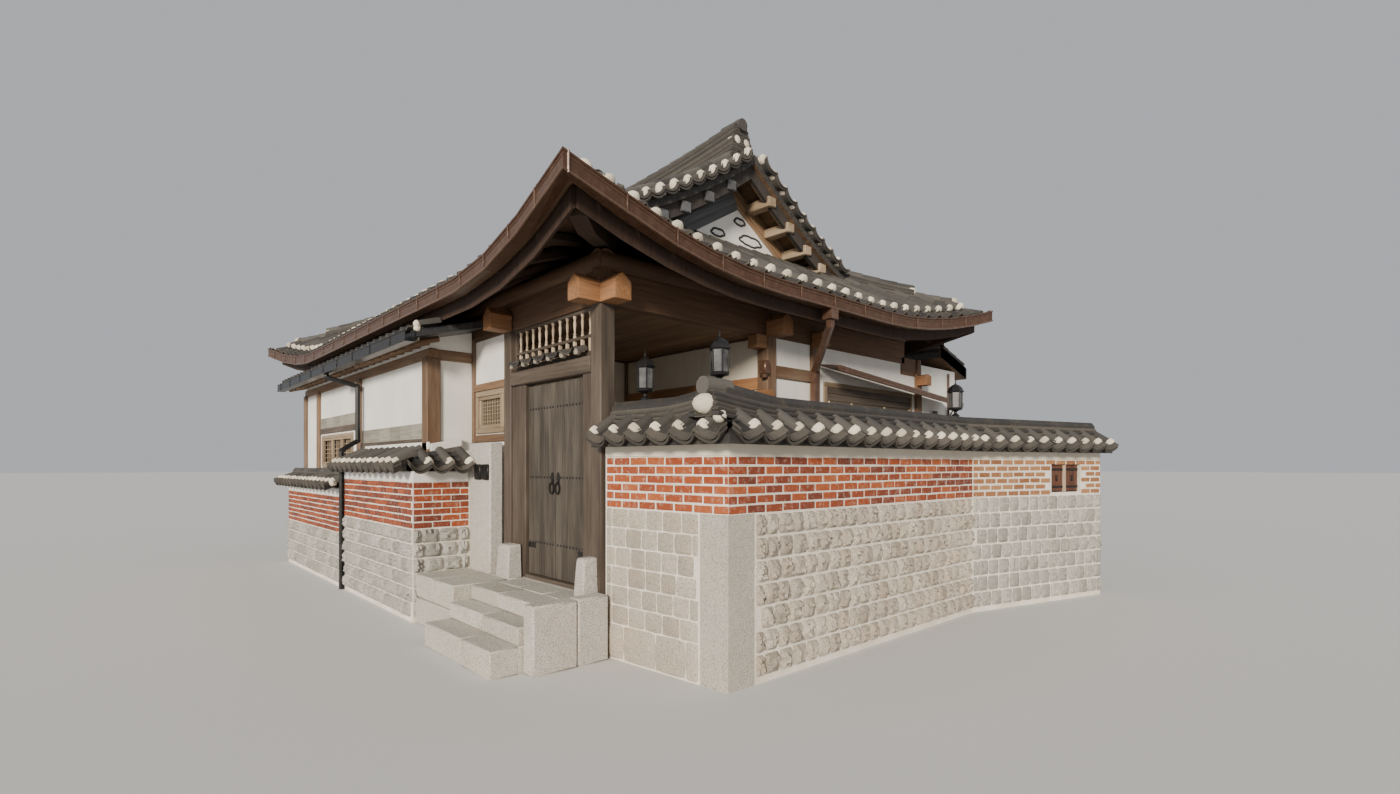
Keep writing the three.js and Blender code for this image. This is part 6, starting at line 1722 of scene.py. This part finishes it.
STEP_SLABS = (  # edges along x, then y0, y1, z0, z1
    ((-1.400, -0.78, 0.050), (-0.690, -0.400, 0.40, 0.550)),
    ((-1.400, -0.95, -0.45, 0.050), (-0.400, -0.0903, 0.40, 0.550)),
    ((-1.400, -0.60, 0.050), (-0.690, -0.0903, 0.20, 0.398)),
    ((-1.400, 0.050), (-0.690, -0.0903, 0.0, 0.198)),
    ((-1.400, -0.66, 0.050), (-0.910, -0.66, 0.24, 0.400)),
    ((-1.400, 0.050), (-0.910, -0.66, 0.0, 0.238)),
    ((-1.400, -0.55, 0.050), (-1.160, -0.89, 0.0, 0.240)),
    ((-2.449, -1.95, -1.402), (-0.880, -0.27, 0.30, 0.560)),
    ((-2.449, -1.402), (-0.880, -0.27, 0.0, 0.298)),
    ((-1.885, -1.402), (-0.270, -0.0903, 0.0, 0.560)),
)


def build_steps():
    stone, light, plates = Shape(), Shape(), Shape()
    for edges, bounds in STEP_SLABS:
        slabs(stone, edges, bounds)
    for y0, y1 in ((-0.860, -0.42), (-0.416, -0.0903)):
        slabs(light, (0.0503, 0.230), (y0, y1, 0.0, 0.600), 0.016)
    beam(light, (-2.449, -1.890, -0.250, -0.0903, 0.0, 2.050), 0.014)
    for x0, x1, high in ((-0.120, 0.045, 0.920), (-1.740, -1.450, 0.910)):
        tapered_stone(light, x0, x1, high)
    for x in (-2.26, -2.06):
        beam(plates, (x, x + 0.155, -0.275, -0.250, 1.62, 1.80), 0.006)
        beam(plates, (x + 0.03, x + 0.125, -0.280, -0.274, 1.65, 1.72), 0.002)
    give(
        (stone, "step_slabs", GRANITE, "granite", "gate_steps"),
        (light, "cheek_stones_and_pier", SPECKLED, "granite", "step_cheek_stone", "gate_pier"),
        (plates, "pier_boxes", BLACK_METAL, "black_metal"),
    )


def tapered_stone(shape, x0, x1, high):
    y0, y1 = -0.250, -0.0903
    layers = (  # height, and how far the sides and the front lie in
        (0.535, 0.0), (0.60, 0.0), (high - 0.05, 0.014),
        (high - 0.014, 0.018), (high - 0.004, 0.024), (high, 0.034),
    )
    points = []
    for z, slim in layers:
        a0, a1, b0 = x0 + slim, x1 - slim, y0 + slim
        cut = 0.012 + slim * 0.3
        loop = [(a0 + cut, b0), (a1 - cut, b0), (a1, b0 + cut), (a1, y1), (a0, y1), (a0, b0 + cut)]
        points += [(x, y, z) for x, y in loop]
    top = len(points) - 6
    faces = grid_faces(len(layers), 6, True) + [tuple(reversed(range(6))), tuple(range(top, top + 6))]
    shape.add(points, faces)


def build_plinth():
    """Dressed blocks that face the stone floor on each side that shows."""
    shape = Shape()
    edge, back, left = 0.090, 7.190, -8.990
    sides = (
        Face((edge, -0.05), (edge, back)),
        Face((-2.690, back), (-2.690, 5.945), -1),
        Face((edge, back), (-2.690, back)),
        Face((-2.690, 5.940), (left, 5.940)),
        Face((left, 5.940), (left, -0.640)),
        Face((left, -0.640), (-2.712, -0.640)),
    )
    for face in sides:
        stones(shape, face, (0.0, face.length), (0.006, 0.545), (0.42, 0.165), 0.014, 0.006, 0.0015, 0.12)
    shape.make("plinth_blocks", GREY_BLOCKS)


# Left yard wall: old brick over grey blocks, with one slope of tiles against the wing and a free coping

LEFT_FACE, LEFT_THICK, LEFT_CORNER = -0.910, 0.250, -2.450
LEFT_STEP, LEFT_END, LEFT_TOP, LEFT_DROP = -5.200, -8.900, 1.720, 0.270
RETURN_END = -0.255
LEFT_BRICK_LOW = 0.66  # the bricks start this far under the wall's top
LEFT_BAND = 0.125


def wall_stretch(shapes, face, top):
    old, grey, band = shapes
    low, high = top - LEFT_BRICK_LOW, top - LEFT_BAND
    # Painted shade: the tones are kept to the dark end, so these bricks, the same as on the front wall, look
    # as if in shade.
    bricks(old, face, (0.01, face.length), (low, high), (0.205, 0.060), 0.012, tones=(0.0, 0.62))
    stones(grey, face, (0.01, face.length - 0.01), (0.05, low), (0.20, 0.165), 0.018, 0.034, 0.0125)
    plaster_band(band, face, (0.0, face.length), (high, top - 0.005))


def build_left_wall():
    shapes = [Shape() for _ in range(3)]
    corner = (LEFT_CORNER, LEFT_FACE)
    step, end = (LEFT_STEP, LEFT_FACE), (LEFT_END, LEFT_FACE)
    wall_stretch(shapes, Face(step, corner), LEFT_TOP)
    wall_stretch(shapes, Face(corner, (LEFT_CORNER, -0.26)), LEFT_TOP)
    wall_stretch(shapes, Face(end, step), LEFT_TOP - LEFT_DROP)
    bricks_shape, grey, band = shapes
    give(
        (bricks_shape, "left_wall_bricks", BRICK, "brick"),
        (grey, "left_wall_blocks", GREY_BLOCKS, "granite"),
        (band, "left_wall_band", PLASTER, "plaster"),
    )


LEFT_EAVE, LEFT_RUN, LEFT_PITCH, LEFT_ROW = 0.150, 0.40, 0.50, 0.235
LEFT_EAVE_Z = LEFT_TOP + 0.035


def build_left_coping():
    parts = [Shape() for _ in range(6)]
    caps, _, ends, _, courses, filling = parts
    flashing = Shape()
    step, corner = (LEFT_STEP + 0.05, LEFT_FACE), (LEFT_CORNER, LEFT_FACE)
    slope = (LEFT_EAVE_Z, LEFT_PITCH)
    one = Coping(step, corner, 1, LEFT_EAVE, LEFT_RUN, *slope, None, LEFT_EAVE)
    two = Coping(corner, (LEFT_CORNER, RETURN_END), 1, LEFT_EAVE, 0.36, *slope, LEFT_EAVE, None)
    coping_rows(parts, one, LEFT_ROW)
    coping_rows(parts, two, LEFT_ROW)
    top = LEFT_EAVE_Z + LEFT_PITCH * LEFT_RUN
    beam(flashing, (LEFT_STEP + 0.05, -2.68, -0.655, -0.620, top + 0.02, top + 0.11), 0.012)
    places = [(-2.69, y, top + 0.05 + 0.20 * (y + 0.62)) for y in (-0.62, -0.45, RETURN_END)]
    tube(flashing, places, EAST, UP, [(-0.03, -0.05), (0.03, -0.05), (0.03, 0.04), (-0.03, 0.04)])
    for x, y in ((LEFT_STEP + 0.05, -0.625), (-2.68, RETURN_END)):
        bounds = (x, LEFT_CORNER - 0.02, LEFT_FACE + 0.01, y, LEFT_TOP, LEFT_EAVE_Z + 0.10)
        beam(filling, bounds, 0.006)
    low_z = LEFT_TOP - LEFT_DROP
    middle = LEFT_FACE + LEFT_THICK / 2
    half = LEFT_THICK / 2 + 0.15
    a, b = (LEFT_END, middle), (LEFT_STEP - 0.05, middle)
    for side, eave, run in ((1, half, half - 0.05), (-1, half - 0.12, 0.10)):
        coping_rows(parts, Coping(a, b, side, eave, run, low_z + 0.03, 0.42), LEFT_ROW)
    ridge = np.array([(*a, low_z + 0.25), (*b, low_z + 0.25)])
    ridge_caps(caps, ridge, 0.062)
    ridge_courses(courses, filling, ridge, 0.075, 3, 0.035)
    for spot, way in ((ridge[0], -EAST), (ridge[1], EAST)):
        end_lump(ends, spot - UP * 0.09, way, 0.070)
    give(*tile_pieces("left_coping", parts, "left_coping_upper", "left_coping_lower"))
    give((flashing, "left_coping_flashing", PLASTER, "plaster"))


# Lean-to wing: short tile rows over its gutter, rafter ends under it, and boards under the panels

WING_LEFT, WING_RIGHT, WING_EAVE, WING_Z, WING_SLOPE = -9.02, -2.23, -0.960, 3.290, 0.27


def build_wing_trim():
    parts = [Shape() for _ in range(4)]
    caps, channels, ends, lips = parts
    rafters, boards, straps = Shape(), Shape(), Shape()
    spot = lambda x, t: np.array([x, WING_EAVE + t, WING_Z + WING_SLOPE * t])
    side = lambda t: EAST
    count = round((WING_RIGHT - WING_LEFT - 0.16) / 0.25)
    gap = (WING_RIGHT - WING_LEFT - 0.16) / count
    for i in range(2 * count + 1):
        x = WING_LEFT + 0.08 + i * gap / 2
        here = lambda t, x=x: spot(x, t)
        if i % 2:
            channel_row(channels, here, side, -0.035, 0.27, gap * 0.46)
            end_lips(lips, here(-0.035), EAST, UP, -NORTH, gap * 0.50, 1, 0.02, 0.045)
        else:
            cap_row(caps, here, side, 0.07, 0.27, 0.052, 0.20, 0.014)
            end_plug(ends, here(0.07) + UP * 0.018, EAST, UP, -NORTH, 0.048, 0.036, 0.03)
    edge = np.array([spot(WING_RIGHT, 0.02), spot(WING_RIGHT, 0.27)]) + UP * 0.07
    ridge_caps(caps, edge[::-1], 0.055)
    for lift_by, size in ((0.060, 0.042), (0.010, 0.036)):
        end_lump(ends, spot(WING_RIGHT - 0.01, 0.02) + UP * lift_by, unit((0.4, -1, 0)), size)
    for x in np.arange(WING_LEFT + 0.12, WING_RIGHT - 0.05, 0.295):
        start = spot(x, 0.055) - UP * 0.125
        rod(rafters, start, start + np.array([0, 0.27, 0.27 * WING_SLOPE]), 0.036, 10)
    across, depth = (WING_LEFT + 0.02, WING_RIGHT - 0.02), (WING_EAVE + 0.035, WING_EAVE + 0.055)
    beam(boards, (*across, *depth, WING_Z - 0.115, WING_Z - 0.075), 0.004, along=0)
    strips = ((2.11, 2.30, -5.41, -2.89), (2.42, 2.60, -7.84, -5.59), (1.72, 1.745, -7.84, -5.59))
    for z0, z1, x0, x1 in strips:
        for x in np.arange(x0, x1 - 0.05, 0.42):
            ends_x = (x, min(x + 0.417, x1))
            beam(boards, (*ends_x, WING_FRONT - 0.056, WING_FRONT - 0.040, z0, z1), 0.003, along=0)
    for x in np.arange(WING_LEFT + 0.3, WING_RIGHT, 0.75):
        block(straps, (x, -1.0735, 3.210), np.eye(3), (0.018, 0.006, 0.135), 0.002)
        block(straps, (x, -1.02, 3.276), np.eye(3), (0.018, 0.12, 0.005), 0.001)
    for z, radius in ((3.268, 0.007), (3.155, 0.008)):
        rod(straps, (WING_LEFT, -1.069, z), (WING_RIGHT + 0.01, -1.071, z), radius, 8)
    give(
        *tile_pieces("wing", parts),
        (rafters, "wing_rafter_ends", MID_WOOD, "timber"),
        (boards, "wing_boards", PLANK_WOOD, "grey_timber"),
        (straps, "wing_gutter_trim", BLACK_METAL, "black_metal"),
    )


# Shutters in the far yard wall, the awning's edge and the tiles of the annex


def build_shutters():
    wood, dark, pale = Shape(), Shape(), Shape()
    way = unit(np.array([*(FRONT_PATH[3] - FRONT_PATH[2]), 0.0]))
    start = np.array([*FRONT_PATH[2], 0.0]) + way * SHUTTER_SPAN[0]
    frame_here = Opening(start, way, np.array([way[1], -way[0], 0.0]))
    low, high = SHUTTER_Z
    wide = SHUTTER_SPAN[1] - SHUTTER_SPAN[0]
    bar = frame_here.bar
    bar(dark, 0.0, wide, low, high, -0.10, -0.050, 0.002)
    for a0, a1 in ((0.010, wide / 2 - 0.030), (wide / 2 + 0.030, wide - 0.010)):
        board = (a1 - a0) / 4
        for b0 in (a0, a0 + board, a0 + board * 2, a0 + board * 3):
            bar(wood, b0 + 0.002, b0 + board - 0.002, low + 0.012, high - 0.012, -0.050, -0.030, 0.004, 2)
        for z in (low + 0.07, high - 0.07):
            bar(dark, a0, a1, z - 0.014, z + 0.014, -0.032, -0.026, 0.002)
        a, z = (a0 + a1) / 2, (low + high) / 2
        bar(dark, a - 0.012, a + 0.012, z - 0.04, z + 0.04, -0.032, -0.018, 0.003)
    middle = wide / 2
    bar(pale, middle - 0.028, middle + 0.028, low + 0.004, high - 0.004, -0.055, -0.018, 0.004, 2)
    give(
        (wood, "shutter_boards", RED_WOOD, "timber", "shutter_window"),
        (dark, "shutter_fittings", BLACK_METAL, "black_metal"),
        (pale, "shutter_post", PALE_WOOD, "timber"),
    )


def build_awning_edge():
    shape, arm = Shape(), Shape()
    start, stop = np.array([0.0853, 3.26, 3.010]), np.array([0.0853, 6.60, 2.760])
    for across, up, radius in ((0.325, 0.004, 0.028), (0.338, -0.038, 0.014)):
        shift = EAST * across + UP * up
        rod(shape, start + shift, stop + shift, radius, 10)
    for t in np.linspace(0.12, 0.95, 6):
        middle = start + (stop - start) * t + EAST * 0.17 + UP * 0.052
        block(shape, middle, (unit((0.33, 0, -0.052)), NORTH, UP), (0.33, 0.014, 0.010), 0.002)
    turns = np.linspace(0, math.pi / 2, 9)
    curve = [stop + (0.02 + 0.30 * math.sin(a), -0.25, 0.02 - 0.32 * math.cos(a)) for a in turns]
    places, across, up = ridge_frames(curve)
    tube(arm, places, across, up, ring(0.010, 8))
    beam(arm, (0.0853, 0.098, 6.29, 6.41, 2.38, 2.66), 0.004)
    give((shape, "awning_edge", BROWN_METAL, "brown_metal"), (arm, "awning_arm", BLACK_METAL, "black_metal"))


ANNEX_LEFT, ANNEX_RIGHT, ANNEX_BACK, ANNEX_RUN = -2.85, 0.105, 7.390, 0.88
ANNEX_Z, ANNEX_SLOPE = 3.4533, 0.3  # height of the tiles' bed at the back edge, and its pitch


def build_annex_tiles():
    parts = [Shape() for _ in range(6)]
    caps, channels, ends, lips, courses, filling = parts
    fascia, pipes = Shape(), Shape()
    spot = lambda x, t: np.array([x, ANNEX_BACK - t, ANNEX_Z + ANNEX_SLOPE * t])
    side = lambda t: EAST
    left, right = ANNEX_LEFT, ANNEX_RIGHT
    count = round((right - left - 0.16) / ROW)
    gap = (right - left - 0.16) / count
    for i in range(2 * count + 1):
        x = left + 0.08 + i * gap / 2
        here = lambda t, x=x: spot(x, t)
        if i % 2:
            channel_row(channels, here, side, 0.0, ANNEX_RUN, gap * 0.45)
            end_lips(lips, here(0.0), EAST, UP, NORTH, gap * 0.48, 1, 0.02, 0.05)
        else:
            cap_row(caps, here, side, 0.02, ANNEX_RUN, 0.066)
            end_plug(ends, here(0.02) + UP * 0.036, EAST, UP, NORTH, 0.060, 0.050)
    top = np.array([spot(x, ANNEX_RUN - 0.06) for x in (left + 0.02, right - 0.02)]) + UP * 0.13
    ridge_caps(caps, top, 0.066)
    ridge_courses(courses, filling, top, 0.080, 3, 0.035)
    for x in (left + 0.012, right - 0.012):
        places = np.array([spot(x, 0.0), spot(x, ANNEX_RUN)]) - UP * 0.06
        tube(fascia, places, EAST, UP, [(-0.012, -0.125), (0.012, -0.125), (0.012, 0.065), (-0.012, 0.065)])
    rod(pipes, (0.075, 6.82, 0.56), (0.075, 6.82, 3.30), 0.018, 10)
    for z in (0.9, 1.9, 2.9):
        block(pipes, (0.058, 6.82, z), np.eye(3), (0.03, 0.06, 0.025), 0.004)
    give(
        *tile_pieces("annex", parts),
        (fascia, "annex_fascia", DARK_WOOD, "timber"),
        (pipes, "annex_pipe", GUTTER_BROWN, "gutter"),
    )


def build_hall_fittings():
    """The small lamp box on the post and the round end of a pole at its foot."""
    lamp, wood = Shape(), Shape()
    y = HALL_BACK - 0.13
    beam(lamp, (0.02, 0.13, y - 0.045, y + 0.045, 2.86, 3.02), 0.010)
    rod(lamp, (0.075, y, 2.82), (0.075, y, 2.86), 0.035, 12, 1.2)
    rod(wood, (-0.06, y + 0.02, 2.62), (0.16, y + 0.02, 2.62), 0.060, 16)
    give((lamp, "post_lamp", BROWN_METAL, "brown_metal"), (wood, "pole_end", FRESH_WOOD, "timber"))


NODE_FINISHES = {
    ROOF_BED: ("front_roof_slope", "back_roof_slope", "right_roof_skirt", "left_roof_skirt", "annex_roof"),
    SHEET: ("wing_roof",),
    # Painted shade: the rafters get the timber darkened for the shade under the eaves.
    SHADED_EAVE_WOOD: ("front_rafters", "back_rafters", "right_rafters", "left_rafters"),
    # Painted shade: the gables' own boards get the timber darkened for the shadow under the verges.
    SHADED_BARGE_WOOD: ("right_gable", "left_gable"),
    GREY_WOOD: ("gate_frame", "gate_transom", "gate_leaf_left", "gate_leaf_right"),
    FRESH_WOOD: ("gate_hall_frame", "right_frame", "back_frame", "left_frame", "wing_frame"),
    PLASTER: ("gate_side_wall", "right_wall", "back_wall", "left_wall", "wing_wall", "annex_walls"),
    CREAM: ("gate_hall_walls",),
    LATTICE: (
        "gate_side_window", "wing_window", "right_window", "back_window", "left_window", "shutter_window",
    ),
    GRANITE: ("stone_floor", "gate_steps", "step_cheek_stone", "gate_pier", "corner_pillar"),
    MORTAR: ("front_yard_wall", "far_yard_wall", "left_yard_wall"),
    TILE: ("roof_ridges", "front_coping", "left_coping_upper", "left_coping_lower"),
    GUTTER_BROWN: ("front_right_gutter", "back_left_gutter"),
    BLACK_METAL: (
        "wing_gutter", "wing_downpipe", "front_lantern", "corner_lantern", "far_lantern",
        "ring_pull_left", "ring_pull_right",
    ),
    BROWN_METAL: ("right_downpipe", "window_awning"),
}


def paint_nodes():
    for material, nodes in NODE_FINISHES.items():
        for node in nodes:
            data = NODES[node].data
            data.materials.clear()
            data.materials.append(material)


add_camera()
add_studio()
paint_nodes()
build_roof_tiles()
build_ridges()
build_front_masonry()
build_front_coping()
build_frames()
build_gables()
build_gutter_trim()
build_gate_leaf("left")
build_gate_leaf("right")
build_gate_surround()
build_windows()
build_lanterns()
build_steps()
build_plinth()
build_left_wall()
build_left_coping()
build_wing_trim()
build_shutters()
build_awning_edge()
build_annex_tiles()
build_hall_fittings()
